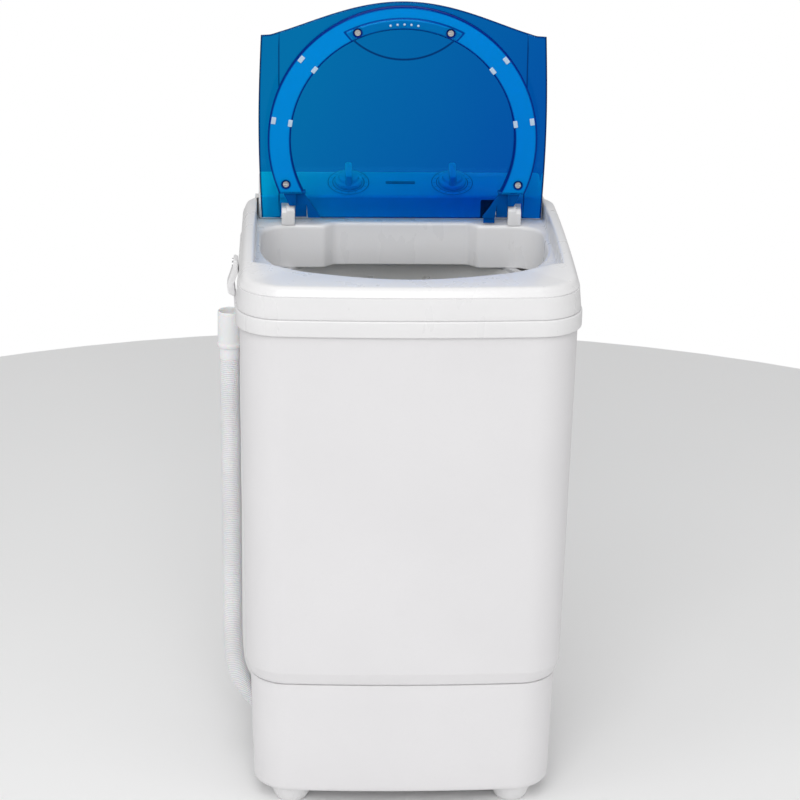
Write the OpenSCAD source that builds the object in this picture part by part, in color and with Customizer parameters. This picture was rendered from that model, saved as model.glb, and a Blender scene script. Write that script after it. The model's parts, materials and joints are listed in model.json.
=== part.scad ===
// Portable top load washing machine: single tub, hinged see-through lid,
// two dials, belt drive and a drain hose parked in a side holder.
// The origin is the middle of the footprint on the floor, the front faces -Y.

/* [Body] */
// Width over the top cover's skirt
body_w = 370; // [366:1:378]
// Radius of the body's vertical corners
corner_r = 48; // [44:1:52]
// Radius of the gentle bow of the front face
bow_r = 2200; // [1800:100:4000]
// Wall thickness of the cabinet moulding
wall_t = 3; // [2.5:0.5:3]
// Height of the feet under the base
foot_h = 22; // [20:1:22]

/* [Lid] */
// Angle between the closed lid and the open lid
lid_open = 92.1; // [60:0.1:93]
// Outer radius of the splash ring under the lid
ring_ro = 152.5; // [148:0.5:153]
// Inner radius of the splash ring
ring_ri = 126.5; // [120:0.5:128]

/* [Controls] */
// Distance of each dial from the middle of the panel
dial_x = 60; // [50:1:66]
// Radius of the printed dial ring
dial_r = 25; // [22:0.5:25]
// Radius of a knob's skirt
knob_r = 16; // [14:0.5:18]

/* [Drive] */
// Radius of the wash tub inside
tub_r = 150; // [146:1:150]
// Radius of the pulsator disc
pulsator_r = 86; // [70:1:88]
// Number of ribs around the tub wall
tub_ribs = 14; // [8:1:20]
// Radius of the large pulley
drive_pulley_r = 62; // [54:1:62]
// Radius of the motor pulley
motor_pulley_r = 16; // [15:1:18]

/* [Hidden] */
$fn = 64;
eps = 0.5;
// Step between stacked shells, so that their walls never lie in one surface
lap = 0.3;

// Half widths of the body's outline at its main heights
hw = body_w / 2;
base_hw0 = hw - 17;
base_hw1 = hw - 14.2;
cab_hw0 = hw - 13.5;
cab_hw1 = hw - 9;
cab_hw2 = hw - 4;
bead_hw = hw - 3.5;
rim_hw = hw - 8;

// Heights of the body's main levels
base_top = 158;
cab_z0 = 159.5;
cab_z1 = 174;
cab_z2 = 576;
cover_z0 = 571;
band_z = 589;
bead_z = 615;
rim_z = 624;
ledge_z = 611;
shelf_z = 549;
skirt_z0 = 560;

// Lid hinge
hinge_y = 104;
hinge_z = 624;
lid_hw = 160;
lid_front = 205.5;
lid_bell = 37.5;
lid_rear = 6;
lid_t = 3.2;
lid_under = -2;
crease_x = 140;
wing_drop = 8;
ring_v = 86.7;
ring_face = -14;
post_x0 = 122;
post_x1 = 137;
pin_r = 2.5;
run_gap = 0.06;

// Lid seat and well in the top cover
seat_hw = hw - 19.5;
seat_front = 105;
seat_bell = 38;
seat_back = 171;
well_r = 160;
well_y = 20;
well_back = 98;
well_corner = 28;

// Control panel
panel_hw = 163.5;
panel_y0 = 122;
panel_y1 = 170.5;
panel_z0 = 611;
panel_z1 = 639;
panel_z2 = 657.5;
panel_t = 2.5;
panel_tilt = atan2(panel_z2 - panel_z1, panel_y1 - panel_y0);
dial_y = (panel_y0 + panel_y1) / 2;
dial_z = (panel_z1 + panel_z2) / 2;
dial_shaft_r = 3;

// Tub and drive
tub_y = 10;
tub_t = 3;
tub_floor = 212;
tub_floor_t = 4;
plate_z = 552;
plate_t = 4;
shaft_r = 6;
motor_x = 62;
motor_y = 86;
motor_r = 50;
belt_z = 81;
belt_h = 6;
groove_depth = 6;
belt_t = 4.6;
belt_gap = 0.4;

// Drain and hose
drain_x = -78;
hose_x = -195;
hose_r = 11.5;
cuff_r = 13;
cuff_z0 = 498;
cuff_z1 = 541;
// The hose leaves the elbow under the tub, bends up outside the base and runs up to its cuff
HOSE_ROUTE = [[-101, 0, 32], [-109, 0, 32], [-118, 0, 33.5], [-132, 0, 37.5],
    [-147, 0, 44.5], [-160, 0, 53.5], [-171.5, 0, 65], [-180.5, 0, 78],
    [-187.5, 0, 92.5], [-191.5, 0, 108], [-193, 0, 124], [-194, 0, 150],
    [-194, 0, 190], [-194, 0, 230], [-194, 0, 270], [-194, 0, 310], [-194.5, 0, 350],
    [-194.5, 0, 390], [-195, 0, 430], [-195, 0, 465], [-195, 0, 498]];
HOSE_SIDES = 12;
// The wiring runs from the panel down behind the tub and forward to the motor
LEAD_ROUTE = [[2, 148, 624], [20, 152, 617], [34, 160, 606], [40, 166, 592], [40, 167, 570],
    [40, 167, 400], [40, 162, 365], [40, 162, 240], [46, 161, 215], [58, 157, 190], [68, 149, 165], [70, 140, 152]];

WHITE = [0.90, 0.90, 0.91];
GREY = [0.45, 0.46, 0.48];
DARK = [0.12, 0.12, 0.13];
STEEL = [0.70, 0.71, 0.73];
BLUE = [0.02, 0.42, 0.75, 0.6];
SKY = [0.05, 0.55, 0.85, 0.8];

// ---------- Shared shapes ----------

// Body outline: straight sides and back, bowed front, tangent corner arcs.
module plan(w) {
    r = corner_r - (hw - w);
    front = -(w - 2);
    back = w - 3;
    cy = front + bow_r;
    corner_y = cy - sqrt(pow(bow_r - r, 2) - pow(w - r, 2));
    reach = (bow_r + 20) / (bow_r - r);
    out_x = (w - r) * reach;
    out_y = cy + (corner_y - cy) * reach;
    intersection() {
        translate([0, cy]) circle(bow_r, $fn = 720);
        polygon([[-(w - r), corner_y], [w - r, corner_y], [out_x, out_y], [-out_x, out_y]]);
    }
    for (s = [-1, 1]) {
        translate([s * (w - r), corner_y]) circle(r);
        translate([s * (w - r), back - r]) circle(r);
    }
    translate([-w, corner_y]) square([2 * w, back - r - corner_y]);
    translate([-(w - r), corner_y]) square([2 * (w - r), back - corner_y]);
}

// An upright solid of the body outline; outlines of all widths share one shape.
module prism(w, z0, z1) {
    translate([0, 0, z0]) linear_extrude(z1 - z0) scale(w / hw) plan(hw);
}

// A solid of the body outline that widens or narrows evenly with height.
module taper(w0, w1, z0, z1) {
    translate([0, 0, z0]) linear_extrude(z1 - z0, scale = w1 / w0) scale(w0 / hw) plan(hw);
}

// A block given by its lowest and highest corners.
module block(lo, hi) {
    translate(lo) cube(hi - lo);
}

// An outline in Y and Z carried along X from x0 to x1.
module along_x(x0, x1) {
    translate([x0, 0, 0]) rotate([90, 0, 90]) linear_extrude(x1 - x0) children();
}

// Mirrored pair about the middle plane.
module pair() {
    children();
    mirror([1, 0, 0]) children();
}

// A pan-head screw pointing along -Z, with its head standing on z = 0.
module screw(r, len, head_r, head_h) {
    translate([0, 0, -len]) cylinder(r = r, h = len + eps / 2);
    difference() {
        cylinder(r = head_r, h = head_h);
        translate([0, 0, head_h / 2]) block([-head_r * 0.7, -0.4, 0], [head_r * 0.7, 0.4, head_h]);
        translate([0, 0, head_h / 2]) block([-0.4, -head_r * 0.7, 0], [0.4, head_r * 0.7, head_h]);
    }
}

module ring_of(ro, ri, h) {
    difference() {
        cylinder(r = ro, h = h);
        translate([0, 0, -eps]) cylinder(r = ri, h = h + 2 * eps);
    }
}

// ---------- Base and feet ----------

foot_x = 125;
foot_y = 128;

module at_feet() {
    for (x = [-foot_x, foot_x])
        for (y = [-foot_y, foot_y])
            translate([x, y, 0]) children();
}

module base() {
    inner = base_hw0 - 3.2;
    color(WHITE) difference() {
        union() {
            difference() {
                union() {
                    taper(base_hw0, base_hw1, foot_h, base_top);
                    prism(base_hw0 - 0.2, base_top - 1, base_top + 14);
                }
                prism(inner, foot_h + 3, base_top + 20);
            }
            at_feet() translate([0, 0, foot_h + 2]) cylinder(r = 10, h = 20);
        }
        block([-50, -90, foot_h - 1], [132, 92, foot_h + 4]);
        block([-160, -18, foot_h - 1], [-49, 18, foot_h + 4]);
        at_cabinet_screws() translate([0, 0, -10]) cylinder(r = 1.9, h = 20);
        block([-180, -16, foot_h - 1], [-158, 16, 76]);
        translate([-180, 0, 76]) rotate([0, 90, 0]) cylinder(r = 16, h = 22);
        at_feet() translate([0, 0, foot_h - 1]) cylinder(r = 2.6, h = 18);
        translate([120, 190, 60]) rotate([90, 0, 0]) cylinder(r = 7.2, h = 40);
        at_underside_screws() translate([0, 0, foot_h - 1]) cylinder(r = 2.1, h = 5);
    }
}

module feet() {
    color(WHITE) at_feet() difference() {
        union() {
            translate([0, 0, 5]) cylinder(r1 = 18.5, r2 = 24, h = foot_h - 5);
            cylinder(r1 = 17, r2 = 18.5, h = 5);
        }
        translate([0, 0, -1]) cylinder(r = 7, h = 9);
        cylinder(r = 2.7, h = foot_h + 1);
    }
}

module foot_screws() {
    color(STEEL) at_feet() translate([0, 0, 8]) mirror([0, 0, 1]) screw(2.4, 24, 5, 3);
}

module at_underside_screws() {
    for (x = [-57, 138])
        for (y = [-95, 97])
            translate([x, y, 0]) children();
}

// Vented sheet that closes the underside below the drive.
module underside_cover() {
    color(GREY) difference() {
        block([-64, -100, foot_h - 2], [144, 102, foot_h]);
        for (i = [0 : 8])
            block([-40 + i * 16, -60, foot_h - 3], [-34 + i * 16, 60, foot_h + 1]);
        at_underside_screws() translate([0, 0, foot_h - 3]) cylinder(r = 2.1, h = 4);
    }
}

module underside_screws() {
    color(STEEL) at_underside_screws()
        translate([0, 0, foot_h - 2]) mirror([0, 0, 1]) screw(1.9, 8, 4, 2);
}

// ---------- Cabinet ----------

rear_x = 105;
rear_z0 = 190;
rear_z1 = 345;

module cabinet() {
    color(WHITE) difference() {
        union() {
            difference() {
                union() {
                    taper(cab_hw0, cab_hw1 - 2 * lap, cab_z0, cab_z1);
                    taper(cab_hw1 - lap, cab_hw2, cab_z1 - eps, cab_z2);
                }
                taper(cab_hw0 - wall_t - lap, cab_hw2 - wall_t, cab_z0 - 1, cab_z2 + 1);
            }
            difference() {
                prism(cab_hw2 - wall_t, shelf_z, shelf_z + 3);
                translate([0, tub_y, shelf_z - 1]) cylinder(r = tub_r + 6, h = 5);
            }
            block([-rear_x - 6, 166, rear_z0 - 6], [rear_x + 6, 171.5, rear_z1 + 6]);
        }
        block([-rear_x + 6, 160, rear_z0 + 6], [rear_x - 6, 190, rear_z1 - 6]);
        block([-rear_x - 0.5, 171.5, rear_z0 - 0.5], [rear_x + 0.5, 190, rear_z1 + 0.5]);
        translate([40, 167, shelf_z - 1]) cylinder(r = 4.5, h = 5);
        at_tub_screws() translate([0, 0, shelf_z - 1]) cylinder(r = 2, h = 5);
        at_rear_screws() translate([0, 165, 0]) rotate([-90, 0, 0]) cylinder(r = 1.7, h = 10);
        at_cabinet_screws() translate([0, 0, -10]) cylinder(r = 1.9, h = 20);
        at_cabinet_screws() cylinder(r = 4, h = 10);
    }
}

// Four screws join the cabinet to the base, low on its sides.
module at_cabinet_screws() {
    for (s = [-1, 1])
        for (y = [-95, 95])
            translate([s * 172, y, 166]) rotate([0, s * 90, 0]) children();
}

module cabinet_screws() {
    color(STEEL) at_cabinet_screws() screw(1.8, 7, 3.6, 1.8);
}

module at_rear_screws() {
    for (x = [-rear_x + 3.5, rear_x - 3.5])
        for (z = [rear_z0 + 3.5, rear_z1 - 3.5])
            translate([x, 0, z]) children();
}

module rear_panel() {
    color(WHITE) difference() {
        block([-rear_x, 171.6, rear_z0], [rear_x, 174.2, rear_z1]);
        for (i = [0 : 5])
            block([-60, 170, rear_z0 + 35 + i * 14], [60, 176, rear_z0 + 40 + i * 14]);
        at_rear_screws() translate([0, 170, 0]) rotate([-90, 0, 0]) cylinder(r = 1.7, h = 6);
    }
}

module rear_panel_screws() {
    color(STEEL) at_rear_screws() translate([0, 174.2, 0]) rotate([-90, 0, 0]) screw(1.6, 7, 3.2, 1.6);
}

// ---------- Top cover ----------

// Bell-shaped swell of the lid's front edge, 0 at the corners and 1 in the middle.
function bell(x) = abs(x) >= 150 ? 0 : pow(0.5 + 0.5 * cos(180 * abs(x) / 150), 0.6);

// Lid seat: the outline of the recess that the closed lid lies in.
module seat2d() {
    polygon(concat(
        [for (i = [-24 : 24]) let (x = i * seat_hw / 24) [x, -(seat_front - 4 * pow(abs(i) / 24, 12)) - seat_bell * bell(x)]],
        [[seat_hw, seat_back], [-seat_hw, seat_back]]));
}

// Well outline grown outwards by g: round in front, square with a stepped wall behind.
module well2d(g) {
    r = well_r + g;
    cr = well_corner + g;
    cx = well_r - well_corner;
    cy = well_back - well_corner;
    difference() {
        translate([0, well_y]) circle(r, $fn = 128);
        translate([-r - 1, well_y]) square([2 * r + 2, r + 1]);
    }
    translate([-r, well_y - 0.01]) square([2 * r, cy - well_y + 0.01]);
    for (s = [-1, 1]) translate([s * cx, cy]) circle(cr);
    translate([-cx, cy]) square([2 * cx, cr]);
    polygon([[-88 - g, cy], [-88 - g, well_back + g], [-77 - g, well_back + 12 + g],
        [77 + g, well_back + 12 + g], [88 + g, well_back + g], [88 + g, cy]]);
}

module top_cover() {
    color(WHITE) difference() {
        union() {
            difference() {
                union() {
                    prism(hw, cover_z0, band_z);
                    taper(hw - 0.6, bead_hw, band_z, bead_z);
                    taper(bead_hw - lap, rim_hw, bead_z - eps, rim_z);
                }
                prism(hw - 3, cover_z0 - 1, band_z - 4);
                prism(hw - 7, band_z - 5, ledge_z - 3);
                translate([0, 0, ledge_z]) linear_extrude(20) seat2d();
            }
            translate([0, 0, skirt_z0]) linear_extrude(ledge_z - skirt_z0 - 1) well2d(wall_t);
        }
        translate([0, 0, skirt_z0 - 1]) linear_extrude(80) well2d(0);
        at_cover_screws() translate([0, 0, -8]) cylinder(r = 1.7, h = 12);
        block([-150, 130, ledge_z - 5], [150, 165, ledge_z + 1]);
    }
}

module at_cover_screws() {
    for (x = [-110, 110])
        translate([x, hw - 3, 580]) rotate([-90, 0, 0]) children();
}

module cover_screws() {
    color(STEEL) at_cover_screws() screw(1.6, 3.2, 3.4, 1.6);
}

// ---------- Control panel ----------

// Puts a child on the sloping face, with +Z standing out of the panel.
module on_panel(x) {
    translate([x, dial_y, dial_z]) rotate([panel_tilt, 0, 0]) children();
}

module panel2d(g) {
    polygon([[panel_y0 + g, panel_z0 - g], [panel_y0 + g, panel_z1 - 0.7 * g],
        [panel_y1 - g, panel_z2 - 1.4 * g], [panel_y1 - g, panel_z0 - g]]);
}

window_x0 = 92;
window_x1 = 115;
window_z0 = 615;
window_z1 = 635;

module control_panel() {
    color(WHITE) difference() {
        along_x(-panel_hw, panel_hw) panel2d(0);
        along_x(-panel_hw + panel_t, panel_hw - panel_t) panel2d(panel_t);
        for (s = [-1, 1]) on_panel(s * dial_x) translate([0, 0, -8]) cylinder(r = 5, h = 12);
        block([window_x0, panel_y0 - 2, window_z0], [window_x1, panel_y0 + 4, window_z1]);
        at_panel_screws() translate([0, 0, -5]) cylinder(r = 1.7, h = 8);
    }
}

module at_panel_screws() {
    for (x = [-140, 140])
        translate([x, panel_y1, 640]) rotate([-90, 0, 0]) children();
}

module panel_screws() {
    color(STEEL) at_panel_screws() screw(1.6, 8, 3.4, 1.6);
}

module dial_rings() {
    color(WHITE) for (s = [-1, 1]) on_panel(s * dial_x) ring_of(dial_r, 5, 0.6);
}

// Round skirt with an upright finger bar and a blind bore for the shaft.
module knob(x) {
    on_panel(x) difference() {
        union() {
            translate([0, 0, 1]) cylinder(r = knob_r, h = 5);
            translate([0, 0, 5.5]) cylinder(r1 = knob_r - 4, r2 = knob_r - 6, h = 4.5);
            block([-4, -knob_r + 1, 5.5], [4, knob_r - 1, 19]);
        }
        cylinder(r = dial_shaft_r, h = 14);
    }
}

module knob_shaft(x) {
    on_panel(x) translate([0, 0, -22]) cylinder(r = dial_shaft_r, h = 35);
}

module timer_knob() {
    color(WHITE) knob(-dial_x);
}

module timer_shaft() {
    color(STEEL) knob_shaft(-dial_x);
}

module selector_knob() {
    color(WHITE) knob(dial_x);
}

module selector_shaft() {
    color(STEEL) knob_shaft(dial_x);
}

// Clockwork wash timer under the panel, with its threaded bush.
module wash_timer() {
    color(GREY) on_panel(-dial_x) difference() {
        union() {
            block([-22, -19, -24], [22, 8, -3.2]);
            translate([0, 0, -3.5]) cylinder(r = 4.6, h = 3.5);
            block([-16, -14, -27], [-10, -8, -24]);
            block([10, -14, -27], [16, -8, -24]);
        }
        translate([0, 0, -22.5]) cylinder(r = dial_shaft_r + run_gap, h = 30);
    }
}

// Rotary mode switch under the panel.
module selector_switch() {
    color(DARK) on_panel(dial_x) difference() {
        union() {
            block([-17, -17, -24], [17, 8, -3.2]);
            translate([0, 0, -3.5]) cylinder(r = 4.6, h = 3.5);
            for (i = [-1 : 1]) block([i * 9 - 2, -10, -28], [i * 9 + 2, -6, -24]);
        }
        translate([0, 0, -22.5]) cylinder(r = dial_shaft_r + run_gap, h = 30);
    }
}

// ---------- Hinge and lid ----------

module hinge_posts() {
    color(WHITE) pair() difference() {
        along_x(post_x0, post_x1) polygon([[hinge_y - 7, ledge_z], [hinge_y - 7, hinge_z + 4],
            [hinge_y - 4, hinge_z + 9], [hinge_y + 4, hinge_z + 9], [hinge_y + 7, hinge_z + 4],
            [hinge_y + 8, ledge_z]]);
        translate([post_x0 - 1, hinge_y, hinge_z]) rotate([0, 90, 0]) cylinder(r = pin_r, h = 12);
    }
}

module hinge_pins() {
    color(STEEL) pair() translate([post_x0 - 14, hinge_y, hinge_z]) rotate([0, 90, 0])
        cylinder(r = pin_r, h = 25);
}

// Puts a child that is drawn with the lid closed, hinge axis at the origin, at the open rest pose.
module lid_place() {
    translate([0, hinge_y, hinge_z]) rotate([-lid_open, 0, 0]) children();
}

// Half width of the lid at distance v in front of the hinge: its sides bow out a little.
function lid_side(v) = lid_hw + 3 * sin(180 * max(0, min(1, v / lid_front)));

module lid2d() {
    side = [for (i = [0 : 8]) let (v = i * (lid_front - 3) / 8) [lid_side(v), -v]];
    front = [for (i = [20 : -1 : -20]) let (x = i * (lid_hw - 2) / 20) [x, -lid_front - lid_bell * bell(x)]];
    left = [for (i = [8 : -1 : 0]) [-side[i][0], side[i][1]]];
    polygon(concat([[lid_hw - 6, lid_rear]], side, front, left, [[-lid_hw + 6, lid_rear]]));
}

// Cross-section of the lid sheet: flat in the middle, side wings that slope down.
module lid_section() {
    x1 = lid_hw + 8;
    drop = wing_drop * (x1 - crease_x) / 25;
    polygon([[-x1, lid_under - drop], [-crease_x, lid_under], [crease_x, lid_under],
        [x1, lid_under - drop], [x1, lid_under - drop + lid_t], [crease_x, lid_under + lid_t],
        [-crease_x, lid_under + lid_t], [-x1, lid_under - drop + lid_t]]);
}

// Finger recess in the lid: two arcs that meet in points.
module lens2d() {
    intersection() {
        translate([0, -226 + 148]) circle(148, $fn = 128);
        translate([0, -177.5 - 84.5]) circle(84.5, $fn = 128);
    }
}

module at_lid_screws() {
    for (s = [-1, 1]) {
        translate([s * 52, -209.5, 0]) children();
        translate([s * 132, -36, 0]) children();
    }
}

module lid_panel() {
    color(BLUE) lid_place() difference() {
        intersection() {
            rotate([90, 0, 0]) translate([0, 0, -lid_rear - 1]) linear_extrude(260) lid_section();
            translate([0, 0, -20]) linear_extrude(40) lid2d();
        }
        translate([0, 0, lid_under + lid_t - 1.2]) linear_extrude(5) lens2d();
        pair() block([107, -11.2, -20], [138.5, 10, 20]);
        at_lid_screws() translate([0, 0, lid_under - 1]) cylinder(r = 1.6, h = 2.6);
    }
}

// Splash ring: a channel bent into an arch, with legs, gussets and hinge knuckles.
module lid_ring() {
    top = lid_under - 0.3;
    color(SKY) lid_place() difference() {
        union() {
            difference() {
                translate([0, -ring_v, ring_face]) ring_of(ring_ro, ring_ri, top - ring_face);
                translate([0, -ring_v, ring_face + 2.5]) ring_of(ring_ro - 3, ring_ri + 3, 20);
                block([-200, -25, -30], [200, 200, 10]);
            }
            intersection() {
                translate([0, -ring_v, ring_face]) ring_of(ring_ro, ring_ri, top - ring_face);
                block([-200, -28, -30], [200, -25, 10]);
            }
            at_lid_screws() translate([0, 0, ring_face + 1]) cylinder(r = 6, h = top - ring_face - 1);
            pair() translate([0, 0, -11]) linear_extrude(top + 11)
                polygon([[135, -25.5], [128, -10.6], [121.4, -10.6], [121.4, -25.5]]);
            pair() translate([0, 0, -8]) linear_extrude(top + 8)
                polygon([[121.4, -25.5], [112.6, -25.5], [92, 4], [107, 4], [108.5, -11.4], [121.4, -11.4]]);
            pair() translate([108.5, 0, 0]) rotate([0, 90, 0]) cylinder(r = 5, h = 13);
            pair() along_x(108.5, 121.5) polygon([[-12, -8], [0, -5], [0, -1], [-4, top], [-12, top]]);
            block([94, 3.5, -4], [107, 10.6, top]);
        }
        pair() rotate([90, 0, 0]) translate([0, 0, -30]) linear_extrude(300)
            polygon([[crease_x, top], [crease_x + 30, top - wing_drop * 30 / 25], [crease_x + 30, 10],
                [crease_x, 10]]);
        at_lid_screws() translate([0, 0, ring_face - 1]) cylinder(r = 4.2, h = 4);
        at_lid_screws() translate([0, 0, ring_face]) cylinder(r = 1.7, h = 30);
        pair() translate([100, 0, 0]) rotate([0, 90, 0]) cylinder(r = pin_r + run_gap, h = 30);
    }
}

module lid_screws() {
    color(STEEL) lid_place() at_lid_screws()
        translate([0, 0, ring_face + 3]) mirror([0, 0, 1]) screw(1.5, 10, 3.4, 2);
}

// Safety switch behind the panel's window; its plunger meets the tab on the lid.
module lid_switch() {
    color(DARK) difference() {
        block([window_x0 + 0.5, panel_y0 + 3, window_z0 + 0.5], [window_x1 - 0.5, panel_y0 + 22, window_z1 - 0.5]);
        translate([101, panel_y0 + 2, 620.5]) rotate([-90, 0, 0]) cylinder(r = 1.8 + run_gap, h = 14);
    }
}

module switch_plunger() {
    color(DARK) translate([101, panel_y0 - 8, 620.5]) rotate([-90, 0, 0]) cylinder(r = 1.8, h = 18);
}

// ---------- Tub ----------

module at_tub_screws() {
    for (s = [-1, 1])
        for (y = [-128, 132])
            translate([s * 145, y, 0]) children();
}

module wash_tub() {
    color(WHITE) difference() {
        union() {
            translate([0, tub_y, tub_floor - tub_floor_t]) cylinder(r = tub_r + tub_t, h = plate_z - tub_floor + 5, $fn = 128);
            prism(hw - 11, plate_z, plate_z + plate_t);
        }
        difference() {
            translate([0, tub_y, tub_floor]) cylinder(r = tub_r, h = 400, $fn = 128);
            for (i = [0 : tub_ribs - 1])
                translate([0, tub_y, tub_floor - 1]) rotate([0, 0, (i + 0.5) * 360 / tub_ribs])
                    translate([0, tub_r, 0]) cylinder(r = 4, h = plate_z - tub_floor - 20, $fn = 24);
        }
        translate([0, tub_y, tub_floor - 10]) cylinder(r = 20, h = 20);
        translate([drain_x, 0, tub_floor - 10]) cylinder(r = 11, h = 20);
        translate([40, 167, plate_z - 1]) cylinder(r = 4.5, h = 7);
        at_tub_screws() translate([0, 0, plate_z - 1]) cylinder(r = 2.1, h = 7);
    }
}

module tub_gasket() {
    color(GREY) translate([0, tub_y, plate_z + plate_t]) ring_of(tub_r + 9, tub_r + 0.5, skirt_z0 - plate_z - plate_t);
}

module tub_screws() {
    color(STEEL) at_tub_screws() translate([0, 0, plate_z + plate_t]) screw(1.8, 9, 3.6, 2);
}

// ---------- Pulsator and shaft ----------

module pulsator() {
    z0 = tub_floor + 4;
    color(WHITE) translate([0, tub_y, z0]) difference() {
        union() {
            cylinder(r = pulsator_r, h = 4, $fn = 96);
            translate([0, 0, 3.5]) cylinder(r1 = 40, r2 = 16, h = 14);
            for (i = [0 : 3]) rotate([0, 0, i * 90 + 20])
                rotate([90, 0, 90]) translate([0, 0, 10]) linear_extrude(pulsator_r - 16)
                    polygon([[-7, 3.5], [-3, 15], [3, 15], [7, 3.5]]);
        }
        translate([0, 0, -1]) cylinder(r = shaft_r, h = 13);
        translate([0, 0, 10]) cylinder(r = 2.6, h = 20);
        translate([0, 0, 14]) cylinder(r = 7, h = 20);
        for (i = [0 : 11]) rotate([0, 0, i * 30 + 5]) translate([62, 0, -1]) cylinder(r = 3, h = 8);
    }
}

module pulsator_screw() {
    color(STEEL) translate([0, tub_y, tub_floor + 18]) screw(2.4, 14, 6, 3);
}

module drive_shaft() {
    color(STEEL) translate([0, tub_y, 66]) difference() {
        cylinder(r = shaft_r, h = tub_floor + 16 - 66);
        translate([0, 0, tub_floor - 66]) cylinder(r = 2.5, h = 30);
    }
}

module shaft_seal() {
    color(DARK) translate([0, tub_y, tub_floor - 4]) ring_of(19.9, shaft_r + run_gap, 5.5);
}

bearing_z = [132, 190];
bearing_h = 10;

module shaft_bearings() {
    color(STEEL) for (z = bearing_z)
        translate([0, tub_y, z]) ring_of(16, shaft_r + run_gap, bearing_h);
}

module bearing_housing() {
    color(GREY) translate([0, tub_y, 0]) difference() {
        union() {
            translate([0, 0, 128]) cylinder(r = 24, h = 72);
            translate([0, 0, 200]) cylinder(r = 46, h = 8);
            for (i = [0 : 5]) rotate([0, 0, i * 60 + 30]) block([20, -2, 150], [34, 2, 195]);
        }
        translate([0, 0, 120]) cylinder(r = 13, h = 100);
        translate([0, 0, bearing_z[0]]) cylinder(r = 16, h = bearing_h);
        translate([0, 0, bearing_z[1]]) cylinder(r = 16, h = 30);
        at_housing_bolts() translate([0, 0, 195]) cylinder(r = 3.2, h = 20);
    }
}

module at_housing_bolts() {
    for (i = [0 : 3]) rotate([0, 0, i * 90 + 45]) translate([38, 0, 0]) children();
}

module housing_bolts() {
    color(STEEL) translate([0, tub_y, 0]) at_housing_bolts() {
        translate([0, 0, 192]) cylinder(r = 3, h = 15.9);
        translate([0, 0, 187.5]) cylinder(r = 5.5, h = 4.6, $fn = 6);
    }
}

// ---------- Motor and belt drive ----------

plate_top = 200;
plate_bot = 196;

// Steel plate under the bearing flange that carries the motor.
module motor_plate() {
    color(STEEL) difference() {
        block([-52, -42, plate_bot], [124, 142, plate_top]);
        translate([0, tub_y, plate_bot - 1]) cylinder(r = 36, h = 8);
        translate([0, tub_y, 0]) at_housing_bolts() translate([0, 0, plate_bot - 1]) cylinder(r = 3.2, h = 8);
        at_motor_bolts() translate([0, 0, plate_bot - 1]) cylinder(r = 3.2, h = 8);
        block([-60, 80, plate_bot - 1], [-10, 150, plate_top + 1]);
        block([70, -50, plate_bot - 1], [130, 20, plate_top + 1]);
    }
}

module at_motor_bolts() {
    for (i = [0 : 3]) translate([motor_x, motor_y, 0]) rotate([0, 0, i * 90])
        translate([motor_r - 8, 0, 0]) children();
}

module motor_body() {
    color(STEEL) difference() {
        union() {
            translate([motor_x, motor_y, 110]) cylinder(r = motor_r - 4, h = 84);
            translate([motor_x, motor_y, 128]) cylinder(r = motor_r, h = 44);
            at_motor_bolts() translate([0, 0, 172]) cylinder(r = 7, h = 24);
        }
        translate([motor_x, motor_y, 116]) cylinder(r = 31, h = 72);
        translate([motor_x, motor_y, 100]) cylinder(r = 5 + run_gap, h = 92);
        at_motor_bolts() translate([0, 0, 180]) cylinder(r = 3.1, h = 20);
    }
}

module motor_bolts() {
    color(STEEL) at_motor_bolts() {
        translate([0, 0, 182]) cylinder(r = 3, h = 18.1);
        translate([0, 0, plate_top]) cylinder(r = 5.5, h = 4.6, $fn = 6);
    }
}

module motor_rotor() {
    color(STEEL) translate([motor_x, motor_y, 0]) {
        translate([0, 0, 70]) cylinder(r = 5, h = 121);
        translate([0, 0, 120]) cylinder(r = 30, h = 64);
    }
}

module motor_fan() {
    color(DARK) translate([motor_x, motor_y, 97]) difference() {
        union() {
            cylinder(r = 10, h = 10);
            cylinder(r = 27, h = 2);
            for (i = [0 : 7]) rotate([0, 0, i * 45]) block([8, -0.9, 1], [26, 0.9, 9]);
        }
        translate([0, 0, -1]) cylinder(r = 5, h = 20);
    }
}

// A grooved pulley round a shaft of radius bore.
module pulley(r, bore, hub_r) {
    difference() {
        union() {
            translate([0, 0, belt_z - 3]) cylinder(r = r, h = belt_h + 6);
            translate([0, 0, belt_z - 6]) cylinder(r = hub_r, h = belt_h + 12);
        }
        translate([0, 0, belt_z - 0.5]) ring_of(r + 2, r - groove_depth, belt_h + 1);
        translate([0, 0, belt_z - 8]) cylinder(r = bore, h = 30);
    }
}

module motor_pulley() {
    color(STEEL) translate([motor_x, motor_y, 0]) pulley(motor_pulley_r, 5, 8);
}

module drive_pulley() {
    color(STEEL) translate([0, tub_y, 0]) difference() {
        pulley(drive_pulley_r, shaft_r, 14);
        for (i = [0 : 4]) rotate([0, 0, i * 72]) translate([35, 0, belt_z - 10]) cylinder(r = 11, h = 30);
    }
}

module pulley_nut() {
    color(STEEL) translate([0, tub_y, belt_z - 11]) difference() {
        cylinder(r = 10, h = 5, $fn = 6);
        translate([0, 0, -1]) cylinder(r = shaft_r, h = 8);
    }
}

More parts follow.
